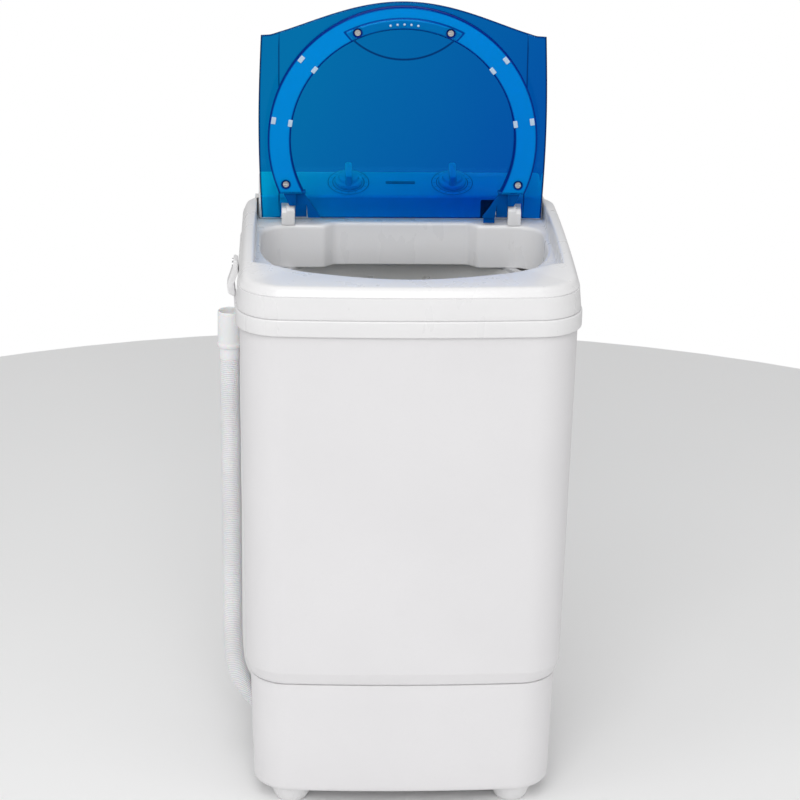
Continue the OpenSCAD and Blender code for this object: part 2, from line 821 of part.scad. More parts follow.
// Outline round both pulleys at radius offset g from the groove bottoms.
module belt2d(g) {
    r1 = drive_pulley_r - groove_depth + g;
    r2 = motor_pulley_r - groove_depth + g;
    dx = motor_x;
    dy = motor_y - tub_y;
    span = sqrt(dx * dx + dy * dy);
    lean = asin((r1 - r2) / span);
    translate([0, tub_y]) rotate(atan2(dy, dx)) {
        circle(r1, $fn = 128);
        translate([span, 0]) circle(r2);
        polygon([for (s = [1, -1], e = s > 0 ? [0, 1] : [1, 0])
            let (r = (e == 0 ? r1 : r2) - 0.02) [e * span + r * sin(lean), s * r * cos(lean)]]);
    }
}

module drive_belt() {
    color(DARK) translate([0, 0, belt_z]) linear_extrude(belt_h) difference() {
        belt2d(belt_gap + belt_t);
        belt2d(belt_gap);
    }
}

module capacitor() {
    color(WHITE) translate([-30, 118, 140]) {
        cylinder(r = 17, h = 60);
        translate([-6, 0, 60]) cylinder(r = 2, h = 6);
        translate([6, 0, 60]) cylinder(r = 2, h = 6);
    }
}

// Strap that holds the capacitor against an ear of the motor plate.
module capacitor_strap() {
    color(STEEL) difference() {
        union() {
            translate([-30, 118, 176]) ring_of(19, 17.05, 14);
            block([-12, 112, 178], [-8, 124, 196]);
        }
        translate([-30, 118, 170]) cylinder(r = 17.05, h = 40);
    }
}

// ---------- Drain and hose ----------

module drain_elbow() {
    color(GREY) difference() {
        union() {
            translate([drain_x, 0, 32]) cylinder(r = 10.9, h = tub_floor - 32 - 0.5);
            translate([drain_x, 0, tub_floor - tub_floor_t - 4]) cylinder(r = 18, h = 4);
            translate([drain_x, 0, 32]) sphere(r = 10.9);
            translate([HOSE_ROUTE[0][0], 0, 32]) rotate([0, 90, 0]) cylinder(r = 10, h = drain_x - HOSE_ROUTE[0][0]);
        }
        translate([drain_x, 0, 32]) cylinder(r = 8.4, h = tub_floor);
        translate([HOSE_ROUTE[0][0] - 1, 0, 32]) rotate([0, 90, 0]) cylinder(r = 8.4, h = drain_x - HOSE_ROUTE[0][0] + 1);
    }
}

module hose_clamp() {
    color(STEEL) translate([-107.5, 0, 32]) rotate([0, 90, 0]) {
        ring_of(14, 12.2, 5);
        translate([-19, -3, 0]) block([0, 0, 0], [5.4, 6, 5]);
    }
}

// Directions along a route, from each point's neighbours.
function along(p, i) = let (d = p[min(i + 1, len(p) - 1)] - p[max(i - 1, 0)]) d / norm(d);

// A tube of radius r swept along route p; side is a direction that no stretch runs along.
module sweep(p, r, sides, side) {
    n = len(p);
    pts = [for (i = [0 : n - 1]) let (t = along(p, i), c = cross(side, t), u = c / norm(c), v = cross(t, u))
        for (k = [0 : sides - 1]) p[i] + r * (cos(k * 360 / sides) * u + sin(k * 360 / sides) * v)];
    skin = [for (i = [0 : n - 2], k = [0 : sides - 1]) let (a = i * sides + k, b = i * sides + (k + 1) % sides)
        [a, a + sides, b + sides, b]];
    ends = [[for (k = [0 : sides - 1]) k], [for (k = [sides - 1 : -1 : 0]) (n - 1) * sides + k]];
    polyhedron(points = pts, faces = concat(skin, ends));
}

module drain_hose() {
    color(WHITE) sweep(HOSE_ROUTE, hose_r, HOSE_SIDES, [0, 1, 0]);
}

module hose_cuff() {
    color(WHITE) translate([hose_x, 0, cuff_z0]) difference() {
        union() {
            cylinder(r = cuff_r, h = cuff_z1 - cuff_z0);
            translate([0, 0, 4]) rotate_extrude() translate([cuff_r - 1, 0]) circle(2, $fn = 24);
        }
        translate([0, 0, 3]) cylinder(r = cuff_r - 2, h = 60);
    }
}

// Hook on the cover's side: a bent tongue whose prong holds the cuff's mouth.
module hose_holder() {
    color(WHITE) difference() {
        union() {
            translate([0, 12, 0]) rotate([90, 0, 0]) linear_extrude(24)
                polygon([[-hw, 600], [-hw - 5, 603], [-hw - 5, 594], [-hw - 9.8, 573], [-hw - 9, 564],
                    [-hw - 5, 561], [-hw - 3, 563], [-hw - 6.8, 574], [-hw, 592]]);
            translate([0, 5, 0]) rotate([90, 0, 0]) linear_extrude(10)
                polygon([[-hw - 5, 562.5], [-hw - 2.4, 565], [-hw - 0.4, 530], [-hw - 2.4, 526], [-hw - 2.8, 530]]);
        }
        for (y = [-7, 7]) translate([-hw - 8, y, 597]) rotate([0, 90, 0]) cylinder(r = 1.5, h = 12);
    }
}

module holder_screws() {
    color(STEEL) for (y = [-7, 7]) translate([-hw - 5, y, 597]) rotate([0, -90, 0]) screw(1.4, 4.4, 2.6, 1.4);
}

// ---------- Electrical ----------

module cable_gland() {
    color(DARK) translate([120, 0, 60]) rotate([-90, 0, 0]) difference() {
        union() {
            translate([0, 0, 160]) cylinder(r = 7, h = 8);
            translate([0, 0, 166.5]) cylinder(r = 11, h = 3);
            translate([0, 0, 169.2]) cylinder(r1 = 9, r2 = 7, h = 5);
            translate([0, 0, 158]) cylinder(r = 9.5, h = 3);
        }
        translate([0, 0, 150]) cylinder(r = 3.6, h = 40);
    }
}

// Wiring from the panel down behind the tub to the motor.
module wiring_harness() {
    color(DARK) sweep(LEAD_ROUTE, 2.5, 8, [1, 0, 0]);
}

base();
underside_cover();
underside_screws();
feet();
foot_screws();
cabinet();
cabinet_screws();
rear_panel();
rear_panel_screws();
top_cover();
cover_screws();
control_panel();
panel_screws();
dial_rings();
timer_knob();
timer_shaft();
wash_timer();
selector_knob();
selector_shaft();
selector_switch();
hinge_posts();
hinge_pins();
lid_panel();
lid_ring();
lid_screws();
lid_switch();
switch_plunger();
wash_tub();
tub_gasket();
tub_screws();
pulsator();
pulsator_screw();
drive_shaft();
shaft_seal();
shaft_bearings();
bearing_housing();
housing_bolts();
motor_plate();
motor_body();
motor_bolts();
motor_rotor();
motor_fan();
motor_pulley();
drive_pulley();
pulley_nut();
drive_belt();
capacitor();
capacitor_strap();
drain_elbow();
hose_clamp();
drain_hose();
hose_cuff();
hose_holder();
holder_screws();
cable_gland();
wiring_harness();
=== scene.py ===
"""Looks of a small top loading washing machine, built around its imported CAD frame.

Lengths in this script are in millimetres and become metres when a mesh is made. The origin is the
middle of the footprint on the floor, the front faces -Y and +Z is up.
"""

import json
import logging
import math
from dataclasses import dataclass, field
from enum import Enum

import bpy
import numpy as np
from mathutils import Matrix, Vector


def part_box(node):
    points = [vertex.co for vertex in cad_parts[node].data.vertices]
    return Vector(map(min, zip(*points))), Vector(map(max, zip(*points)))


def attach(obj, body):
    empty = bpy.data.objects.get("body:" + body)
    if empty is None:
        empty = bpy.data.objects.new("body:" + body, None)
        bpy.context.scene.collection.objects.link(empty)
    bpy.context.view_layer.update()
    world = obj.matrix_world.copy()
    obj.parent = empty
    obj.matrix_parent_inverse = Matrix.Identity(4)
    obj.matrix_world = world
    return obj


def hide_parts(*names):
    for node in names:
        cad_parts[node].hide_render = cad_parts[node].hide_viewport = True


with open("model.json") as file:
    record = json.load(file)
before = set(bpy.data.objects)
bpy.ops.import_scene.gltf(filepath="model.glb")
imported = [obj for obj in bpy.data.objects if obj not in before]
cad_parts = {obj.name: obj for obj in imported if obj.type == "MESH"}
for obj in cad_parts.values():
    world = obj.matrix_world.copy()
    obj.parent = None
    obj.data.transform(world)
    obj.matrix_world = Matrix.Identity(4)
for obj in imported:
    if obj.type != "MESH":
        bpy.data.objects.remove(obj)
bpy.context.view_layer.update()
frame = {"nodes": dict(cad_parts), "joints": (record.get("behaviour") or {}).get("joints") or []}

LOG = logging.getLogger("washer")
MM = 0.001
Array = np.ndarray


class Body(Enum):
    """The bodies that the pieces here ride on."""

    HOUSING = "housing"
    LID = "lid"
    TIMER = "timer_dial"
    SELECTOR = "selector_dial"
    AGITATOR = "agitator"


# ---------- Shapes ----------


def box_mm(node: str) -> tuple[Array, Array]:
    """Lowest and highest corner of a CAD node.

    Args:
        node: name of the CAD node.

    Returns:
        The two corners in millimetres.
    """
    low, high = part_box(node)
    return np.array(low) / MM, np.array(high) / MM


def smooth_step(value: Array, start: float, end: float) -> Array:
    """Share that rises smoothly from 0 at start to 1 at end, as 3t^2 - 2t^3.

    Args:
        value: the values to judge.
        start: where the rise begins.
        end: where the rise ends.

    Returns:
        An array of shares like value.
    """
    share = np.clip((np.asarray(value, float) - start) / (end - start), 0, 1)
    return share * share * (3 - 2 * share)


def rounded(corners: list, radii: float | list, steps: int = 7) -> Array:
    """Outline whose corners are rounded by arcs that are tangent to both sides.

    Each arc's centre lies on the corner's bisector, at radius over the sine of half the corner's
    angle, and its points turn evenly from one tangent point to the other.

    Args:
        corners: the corner points in order.
        radii: one radius, or one for each corner.
        steps: points on each arc.

    Returns:
        The outline's points, anticlockwise.
    """
    p = np.asarray(corners, float)
    r = np.broadcast_to(np.asarray(radii, float), len(p))[:, None]
    back = np.roll(p, 1, axis=0) - p
    back /= np.linalg.norm(back, axis=1, keepdims=True)
    on = np.roll(p, -1, axis=0) - p
    on /= np.linalg.norm(on, axis=1, keepdims=True)
    half = 0.5 * np.arccos(np.clip((back * on).sum(1, keepdims=True), -1, 1))
    middle = (back + on) / np.linalg.norm(back + on, axis=1, keepdims=True)
    centre = p + middle * r / np.sin(half)
    first = p + back * r / np.tan(half) - centre
    last = p + on * r / np.tan(half) - centre
    a0 = np.arctan2(first[:, 1:], first[:, :1])
    turn = (np.arctan2(last[:, 1:], last[:, :1]) - a0 + np.pi) % (2 * np.pi) - np.pi
    angle = a0 + turn * np.linspace(0, 1, steps)
    points = centre[:, None] + r[:, None] * np.stack([np.cos(angle), np.sin(angle)], axis=2)
    points = points.reshape(-1, 2)
    x, y = points.T
    area = (x * np.roll(y, -1) - y * np.roll(x, -1)).sum()
    return points if area > 0 else points[::-1]


def dense(outline: Array, step: float = 0.6) -> Array:
    """The closed outline again with its points evenly spaced along its length.

    Args:
        outline: points of a closed outline.
        step: distance between the new points.

    Returns:
        The new points.
    """
    closed = np.vstack([outline, outline[:1]])
    run = np.concatenate([[0], np.cumsum(np.linalg.norm(np.diff(closed, axis=0), axis=1))])
    at = np.linspace(0, run[-1], int(run[-1] / step), endpoint=False)
    return np.stack([np.interp(at, run, closed[:, k]) for k in range(2)], axis=1)


def grown(outline: Array, distance: float) -> Array:
    """The anticlockwise outline moved outwards along its own normals.

    Args:
        outline: points of a closed outline.
        distance: how far it moves; below zero it shrinks.

    Returns:
        The moved points.
    """
    along = np.roll(outline, -1, axis=0) - np.roll(outline, 1, axis=0)
    along /= np.maximum(np.linalg.norm(along, axis=1, keepdims=True), 1e-9)
    return outline + distance * np.stack([along[:, 1], -along[:, 0]], axis=1)


def radius_at(outline: Array, angles: Array) -> Array:
    """Distance from the origin to a star-shaped outline in given directions.

    Args:
        outline: dense points round the origin.
        angles: directions in radians.

    Returns:
        One distance for each direction.
    """
    turn = np.arctan2(outline[:, 1], outline[:, 0])
    order = np.argsort(turn)
    far = np.linalg.norm(outline, axis=1)
    return np.interp(angles, turn[order], far[order], period=2 * np.pi)


@dataclass
class Shell:
    """Closed surface made of quads, with flat caps and values at its points."""

    points: Array
    quads: Array
    caps: list = field(default_factory=list)
    marks: dict = field(default_factory=dict)

    @classmethod
    def from_grid(cls, grid: Array, wrap_rows: bool = False, marks: dict | None = None) -> "Shell":
        """Skin over rows of points whose columns run round and close.

        Point (row, column) is joined to its next neighbours by one quad. Open rows are closed by
        one flat cap at each end, and the whole is turned so that its volume is positive.

        Args:
            grid: rows x columns x 3 points.
            wrap_rows: whether the last row joins the first.
            marks: named values, one for each point of the grid.

        Returns:
            The shell.
        """
        rows, cols = grid.shape[:2]
        i, j = np.meshgrid(np.arange(rows if wrap_rows else rows - 1), np.arange(cols), indexing="ij")
        up, on = (i + 1) % rows, (j + 1) % cols
        quads = np.stack([i * cols + j, i * cols + on, up * cols + on, up * cols + j], axis=2)
        ring = np.arange(cols)
        caps = [] if wrap_rows else [ring[::-1], ring + (rows - 1) * cols]
        flat = {k: np.asarray(v, float).reshape(-1) for k, v in (marks or {}).items()}
        return cls(grid.reshape(-1, 3), quads.reshape(-1, 4), caps, flat).outward()

    def outward(self) -> "Shell":
        """The shell with its faces pointing outwards, judged by its signed volume.

        Returns:
            This shell, turned if its volume was negative.
        """
        a, b, c, d = (self.points[self.quads[:, k]] for k in range(4))
        volume = (a * np.cross(b, c)).sum() + (a * np.cross(c, d)).sum()
        for cap in self.caps:
            ring = self.points[cap]
            volume += (ring[:1] * np.cross(ring[1:-1], ring[2:])).sum()
        if volume < 0:
            self.quads = self.quads[:, ::-1]
            self.caps = [cap[::-1] for cap in self.caps]
        return self

    def moved(self, turn: Array, shift: Array | tuple) -> "Shell":
        """The shell turned and then shifted.

        Args:
            turn: 3 x 3 matrix; a mirror is allowed.
            shift: vector added after the turn.

        Returns:
            A new shell.
        """
        points = self.points @ np.asarray(turn, float).T + np.asarray(shift, float)
        return Shell(points, self.quads, list(self.caps), dict(self.marks)).outward()

    def mirrored(self) -> "Shell":
        """The shell on the other side of the middle plane."""
        return self.moved(np.diag([-1.0, 1.0, 1.0]), (0, 0, 0))


def joined(shells: list[Shell]) -> Shell:
    """Several shells as one.

    Args:
        shells: the shells, which keep their places.

    Returns:
        One shell; a value that a shell lacks is 0 on it.
    """
    starts = np.cumsum([0] + [len(s.points) for s in shells[:-1]])
    names = {k for s in shells for k in s.marks}
    marks = {k: np.concatenate([s.marks.get(k, np.zeros(len(s.points))) for s in shells]) for k in names}
    quads = np.concatenate([s.quads + n for s, n in zip(shells, starts)])
    caps = [cap + n for s, n in zip(shells, starts) for cap in s.caps]
    return Shell(np.concatenate([s.points for s in shells]), quads, caps, marks)


def plate(outline: Array, low: float, high: float, edge: float, top: float | None = None) -> Shell:
    """Plate with quarter-round edges: the outline in X and Y carried from low to high.

    Within the edge radius of a face the outline shrinks by edge x (1 - cos) while the height
    runs by edge x (1 - sin), so that the edge is a quarter circle.

    Args:
        outline: the plate's outline.
        low: height of the lower face.
        high: height of the upper face.
        edge: radius of the lower edge.
        top: radius of the upper edge, the same if left out.

    Returns:
        The shell.
    """
    top = edge if top is None else top
    quarter = np.linspace(0, np.pi / 2, 5)
    shrink = np.concatenate([edge * (1 - np.sin(quarter)), top * (1 - np.cos(quarter))])
    height = np.concatenate([low + edge * (1 - np.cos(quarter)), high - top * (1 - np.sin(quarter))])
    grid = [np.column_stack([grown(outline, -s), np.full(len(outline), z)]) for s, z in zip(shrink, height)]
    return Shell.from_grid(np.array(grid))


def turned(profile: list, steps: int = 64, closed: bool = True) -> Shell:
    """Solid of revolution about the Z axis.

    Args:
        profile: (radius, height) points.
        steps: points round the axis.
        closed: whether the profile is a closed outline; an open one gets flat caps.

    Returns:
        The shell.
    """
    r, z = np.asarray(profile, float).T
    angle = np.linspace(0, 2 * np.pi, steps, endpoint=False)
    grid = np.stack([np.outer(r, np.cos(angle)), np.outer(r, np.sin(angle)),
                     np.repeat(z[:, None], steps, axis=1)], axis=2)
    return Shell.from_grid(grid, wrap_rows=closed)


def ball(centre: tuple, radius: float, steps: int = 12) -> Shell:
    """Small round bump.

    Args:
        centre: its middle.
        radius: its radius.
        steps: points round it.

    Returns:
        The shell, with a tiny flat at each pole.
    """
    rise = np.linspace(-1.45, 1.45, steps // 2 + 1)
    profile = np.column_stack([radius * np.cos(rise), radius * np.sin(rise)])
    return turned(profile, steps, closed=False).moved(np.eye(3), centre)


ALONG_X = np.array([[0.0, 0, 1], [1, 0, 0], [0, 1, 0]])
ALONG_Y = np.array([[1.0, 0, 0], [0, 0, 1], [0, 1, 0]])


def turn_x(degrees: float) -> Array:
    """Turn about the X axis.

    Args:
        degrees: angle by the right-hand rule.

    Returns:
        3 x 3 matrix.
    """
    c, s = math.cos(math.radians(degrees)), math.sin(math.radians(degrees))
    return np.array([[1, 0, 0], [0, c, -s], [0, s, c]])


# ---------- Finishes ----------


def fill_sockets(tree: bpy.types.NodeTree, node: bpy.types.Node, values: dict) -> None:
    """Set a node's inputs.

    Args:
        tree: the tree that the node stands in.
        node: the node.
        values: socket name or index to a value or to another node's socket.
    """
    for key, value in values.items():
        if isinstance(value, bpy.types.NodeSocket):
            tree.links.new(value, node.inputs[key])
        else:
            node.inputs[key].default_value = value


def add_node(tree: bpy.types.NodeTree, kind: str, values: dict | None = None,
             **settings: object) -> bpy.types.Node:
    """Add a node to a tree.

    Args:
        tree: the tree.
        kind: Blender's node type.
        values: socket name or index to a value or to another node's socket.
        settings: properties of the node.

    Returns:
        The node.
    """
    node = tree.nodes.new(kind)
    for key, value in settings.items():
        setattr(node, key, value)
    fill_sockets(tree, node, values or {})
    return node


class Nodes:
    """Short way to write a material's node tree."""

    def __init__(self, name: str) -> None:
        """Start an empty material.

        Args:
            name: the material's name.
        """
        self.material = bpy.data.materials.new(name)
        self.material.use_nodes = True
        self.tree = self.material.node_tree
        self.shader = self.tree.nodes["Principled BSDF"]

    def add(self, kind: str, values: dict | None = None, **settings: object) -> bpy.types.Node:
        """Add a node.

        Args:
            kind: Blender's node type.
            values: socket name or index to a value or to another node's socket.
            settings: properties of the node.

        Returns:
            The node.
        """
        return add_node(self.tree, kind, values, **settings)

    def place(self, stretch: tuple = (1, 1, 1)) -> bpy.types.NodeSocket:
        """Object coordinates, stretched.

        Args:
            stretch: factor along each axis.

        Returns:
            The vector socket.
        """
        where = self.add("ShaderNodeTexCoord").outputs["Object"]
        return self.add("ShaderNodeMapping", {"Vector": where, "Scale": stretch}).outputs["Vector"]

    def noise(self, scale: float, detail: float = 3, stretch: tuple = (1, 1, 1)) -> bpy.types.NodeSocket:
        """Noise over the object.

        Args:
            scale: waves in a metre.
            detail: octaves.
            stretch: factor along each axis.

        Returns:
            The value socket.
        """
        values = {"Vector": self.place(stretch), "Scale": scale, "Detail": detail}
        return self.add("ShaderNodeTexNoise", values).outputs["Fac"]

    def ranged(self, value: bpy.types.NodeSocket, a: float, b: float, to_a: float,
               to_b: float) -> bpy.types.NodeSocket:
        """Value carried from one range to another and held at its ends.

        Args:
            value: the value socket.
            a: start of the first range.
            b: end of the first range.
            to_a: start of the second range.
            to_b: end of the second range.

        Returns:
            The value socket.
        """
        values = {"Value": value, "From Min": a, "From Max": b, "To Min": to_a, "To Max": to_b}
        return self.add("ShaderNodeMapRange", values).outputs["Result"]

    def mark(self, name: str) -> bpy.types.NodeSocket:
        """A value that the mesh holds at its points.

        Args:
            name: the value's name.

        Returns:
            The value socket.
        """
        return self.add("ShaderNodeAttribute", attribute_name=name).outputs["Fac"]

    def blend(self, share: bpy.types.NodeSocket, a: object, b: object) -> bpy.types.NodeSocket:
        """Mix of two colours.

        Args:
            share: how much of the second colour.
            a: first colour or colour socket.
            b: second colour or colour socket.

        Returns:
            The colour socket.
        """
        node = self.add("ShaderNodeMix", {0: share, 6: a, 7: b}, data_type="RGBA")
        return node.outputs[2]

    def bump(self, height: bpy.types.NodeSocket, depth: float, over: object = None) -> bpy.types.NodeSocket:
        """Bump from a height.

        Args:
            height: value socket from 0 to 1.
            depth: depth of the full height in metres.
            over: another bump's socket to add to.

        Returns:
            The normal socket.
        """
        values = {"Height": height, "Distance": depth, "Strength": 1.0}
        if over is not None:
            values["Normal"] = over
        return self.add("ShaderNodeBump", values).outputs["Normal"]

    def math(self, operation: str, a: object, b: object = 0.0) -> bpy.types.NodeSocket:
        """One arithmetic step.

        Args:
            operation: Blender's name of it.
            a: first value or socket.
            b: second value or socket.

        Returns:
            The value socket.
        """
        return self.add("ShaderNodeMath", {0: a, 1: b}, operation=operation).outputs[0]

    def finish(self, values: dict) -> bpy.types.Material:
        """Set the shader's sockets.

        Args:
            values: socket name to a value or to another node's socket.

        Returns:
            The finished material.
        """
        fill_sockets(self.tree, self.shader, values)
        return self.material


def rgba(colour: tuple, factor: float = 1.0) -> tuple:
    """Colour with full alpha.

    Args:
        colour: red, green and blue, linear.
        factor: brightness factor.

    Returns:
        Four numbers.
    """
    return tuple(min(1.0, c * factor) for c in colour) + (1.0,)


@dataclass(frozen=True)
class Moulding:
    """Opaque moulded plastic or rubber: faint mottling, fine grain and uneven gloss."""

    name: str
    colour: tuple
    roughness: float = 0.32
    mottle: float = 0.03
    grain_scale: float = 900.0
    grain_depth: float = 0.00003
    wave_depth: float = 0.00012
    coat: float = 0.0
    subsurface: float = 0.0

    def make(self) -> bpy.types.Material:
        """Build the material.

        Returns:
            The material.
        """
        n = Nodes(self.name)
        cloud = n.ranged(n.noise(7, 4), 0.35, 0.65, 0, 1)
        speck = n.ranged(n.noise(260, 2), 0.55, 0.8, 0, 0.5)
        base = n.blend(cloud, rgba(self.colour, 1 - self.mottle), rgba(self.colour, 1 + self.mottle))
        base = n.blend(speck, base, rgba(self.colour, 1 - 1.5 * self.mottle))
        rub = n.noise(38, 5, (1, 1, 0.35))
        rough = n.ranged(rub, 0.3, 0.75, self.roughness * 0.95, self.roughness * 1.07)
        wave = n.bump(n.noise(16, 2), self.wave_depth)
        grain = n.bump(n.noise(self.grain_scale, 3), self.grain_depth, wave)
        return n.finish({"Base Color": base, "Roughness": rough, "Normal": grain, "Coat Weight": self.coat,
                         "Coat Roughness": 0.12, "IOR": 1.5, "Subsurface Weight": self.subsurface,
                         "Subsurface Scale": 0.002})


@dataclass(frozen=True)
class Tinted:
    """See-through tinted plastic with painted shade along its edges, creases and recess lines, a painted
    slope from a lit to a shaded colour across it, and painted shade inside the finger recess.
    """

    name: str
    colour: tuple
    # The second colour is the shaded end of the painted light slope across the piece; the third is the
    # painted shade along edges, creases and recess lines.
    shaded_colour: tuple
    deep: tuple
    transmission: float
    roughness: float = 0.03
    edge_width: float = 1.8
    # Painted shade inside the finger recess: how much of the darker recess colour is laid in there, and that
    # colour.
    recess_shading: float = 0.0
    recess_shade_colour: tuple = (0.0, 0.19, 0.50)
    gloss_tint: tuple = (0.1, 0.5, 1.0, 1.0)

    def make(self) -> bpy.types.Material:
        """Build the material.

        Returns:
            The material.
        """
        n = Nodes(self.name)
        # Painted shade: dark lines along the edges, the wing creases and the recess outline stand in for the
        # shade that refraction gives there.
        rim = n.ranged(n.mark("rim_mm"), self.edge_width * 0.45, self.edge_width, 1, 0)
        crease = n.ranged(n.mark("crease_mm"), 0.4, 1.1, 0.8, 0)
        lens = n.ranged(n.math("ABSOLUTE", n.mark("lens_mm")), 0.6, 1.5, 0.85, 0)
        dark = n.math("MAXIMUM", rim, n.math("MAXIMUM", crease, lens))
        # Painted light and shade: the colour slopes from the lit colour at the upper left to the shaded
        # colour at the lower right.
        across = n.add("ShaderNodeSeparateXYZ", {0: n.place((1, 1, 0.6))})
        slant = n.math("SUBTRACT", across.outputs["X"], across.outputs["Z"])
        painted_light_slope = n.math("ADD", slant, n.math("MULTIPLY", n.noise(9, 3, (1, 1, 0.4)), 0.06))
        base = n.blend(n.ranged(painted_light_slope, -0.58, -0.27, 0, 1), rgba(self.colour), rgba(self.shaded_colour))
        # Painted shade: deeper inside the finger recess the colour turns towards the darker recess colour.
        inside = n.ranged(n.mark("lens_mm"), 0.6, 3.0, 0, self.recess_shading)
        base = n.blend(inside, base, rgba(self.recess_shade_colour))
        base = n.blend(dark, base, rgba(self.deep))
        rough = n.ranged(n.noise(60, 5), 0.4, 0.8, self.roughness, self.roughness * 2.2)
        ripple = n.bump(n.noise(24, 2), 0.00005)
        hairline = n.bump(n.noise(420, 2, (1, 1, 0.06)), 0.000008, ripple)
        return n.finish({"Base Color": base, "Roughness": rough, "Normal": hairline, "IOR": 1.42,
                         "Transmission Weight": self.transmission, "Specular IOR Level": 0.3,
                         "Specular Tint": self.gloss_tint})


@dataclass(frozen=True)
class Metal:
    """Plated, turned or cast metal with drawn lines or a cloudy skin."""

    name: str
    colour: tuple
    roughness: float = 0.3
    lines: tuple = (1, 1, 0.08)
    depth: float = 0.00002

    def make(self) -> bpy.types.Material:
        """Build the material.

        Returns:
            The material.
        """
        n = Nodes(self.name)
        spangle = n.add("ShaderNodeTexVoronoi", {"Vector": n.place(), "Scale": 170.0}).outputs["Color"]
        tone = n.ranged(n.noise(30, 4), 0.3, 0.7, 0, 1)
        base = n.blend(tone, rgba(self.colour, 0.85), rgba(self.colour, 1.1))
        patch = n.ranged(spangle, 0, 1, 0, 0.12)
        base = n.blend(patch, base, rgba(self.colour, 0.7))
        drawn = n.noise(700, 3, self.lines)
        rough = n.ranged(drawn, 0.3, 0.7, self.roughness * 0.8, self.roughness * 1.4)
        return n.finish({"Base Color": base, "Roughness": rough, "Metallic": 1.0,
                         "Normal": n.bump(drawn, self.depth)})


@dataclass(frozen=True)
class HoseSkin:
    """Milky hose plastic with painted shade in the grooves."""

    name: str
    colour: tuple
    # Colour of the painted shade in the grooves.
    groove: tuple

    def make(self) -> bpy.types.Material:
        """Build the material.

        Returns:
            The material.
        """
        n = Nodes(self.name)
        cloud = n.ranged(n.noise(22, 3), 0.35, 0.65, 0, 1)
        base = n.blend(cloud, rgba(self.colour, 0.96), rgba(self.colour, 1.03))
        # Painted shade: the ribs' grooves are darkened towards the groove colour.
        base = n.blend(n.ranged(n.mark("groove"), 0.2, 1.0, 0, 0.75), base, rgba(self.groove))
        rough = n.ranged(n.noise(90, 3), 0.3, 0.7, 0.3, 0.48)
        return n.finish({"Base Color": base, "Roughness": rough, "Normal": n.bump(n.noise(500, 2), 0.00002),
                         "Subsurface Weight": 0.25, "Subsurface Scale": 0.004})


@dataclass(frozen=True)
class DialPrint:
    """White dial face with printed rings and a scale of short strokes round the knob."""

    name: str
    colour: tuple
    ink: tuple
    rings: tuple = (23.6, 18.2)
    line: float = 0.32
    strokes: int = 16

    def make(self) -> bpy.types.Material:
        """Build the material. Radius and angle come from the two values that the mesh holds.

        Returns:
            The material.
        """
        n = Nodes(self.name)
        u, v = n.mark("dial_u"), n.mark("dial_v")
        radius = n.math("SQRT", n.math("ADD", n.math("MULTIPLY", u, u), n.math("MULTIPLY", v, v)))
        turn = n.math("MULTIPLY", n.math("ARCTAN2", u, v), self.strokes / (2 * math.pi))
        off = n.math("ABSOLUTE", n.math("SUBTRACT", turn, n.math("ROUND", turn)))
        stroke = n.ranged(n.math("MULTIPLY", off, radius), 0.55, 0.85, 1, 0)
        inner = n.math("GREATER_THAN", radius, self.rings[1] + 1.2)
        outer = n.math("LESS_THAN", radius, self.rings[0] - 1.6)
        ink = n.math("MULTIPLY", stroke, n.math("MULTIPLY", inner, outer))
        for ring in self.rings:
            gap = n.math("ABSOLUTE", n.math("SUBTRACT", radius, ring))
            ink = n.math("MAXIMUM", ink, n.ranged(gap, self.line, self.line * 1.5, 1, 0))
        worn = n.math("MULTIPLY", ink, n.ranged(n.noise(300, 3), 0.25, 0.45, 0.8, 1))
        base = n.blend(worn, rgba(self.colour), rgba(self.ink))
        rough = n.ranged(worn, 0, 1, 0.28, 0.4)
        return n.finish({"Base Color": base, "Roughness": rough, "Normal": n.bump(n.noise(900, 2), 0.00001)})


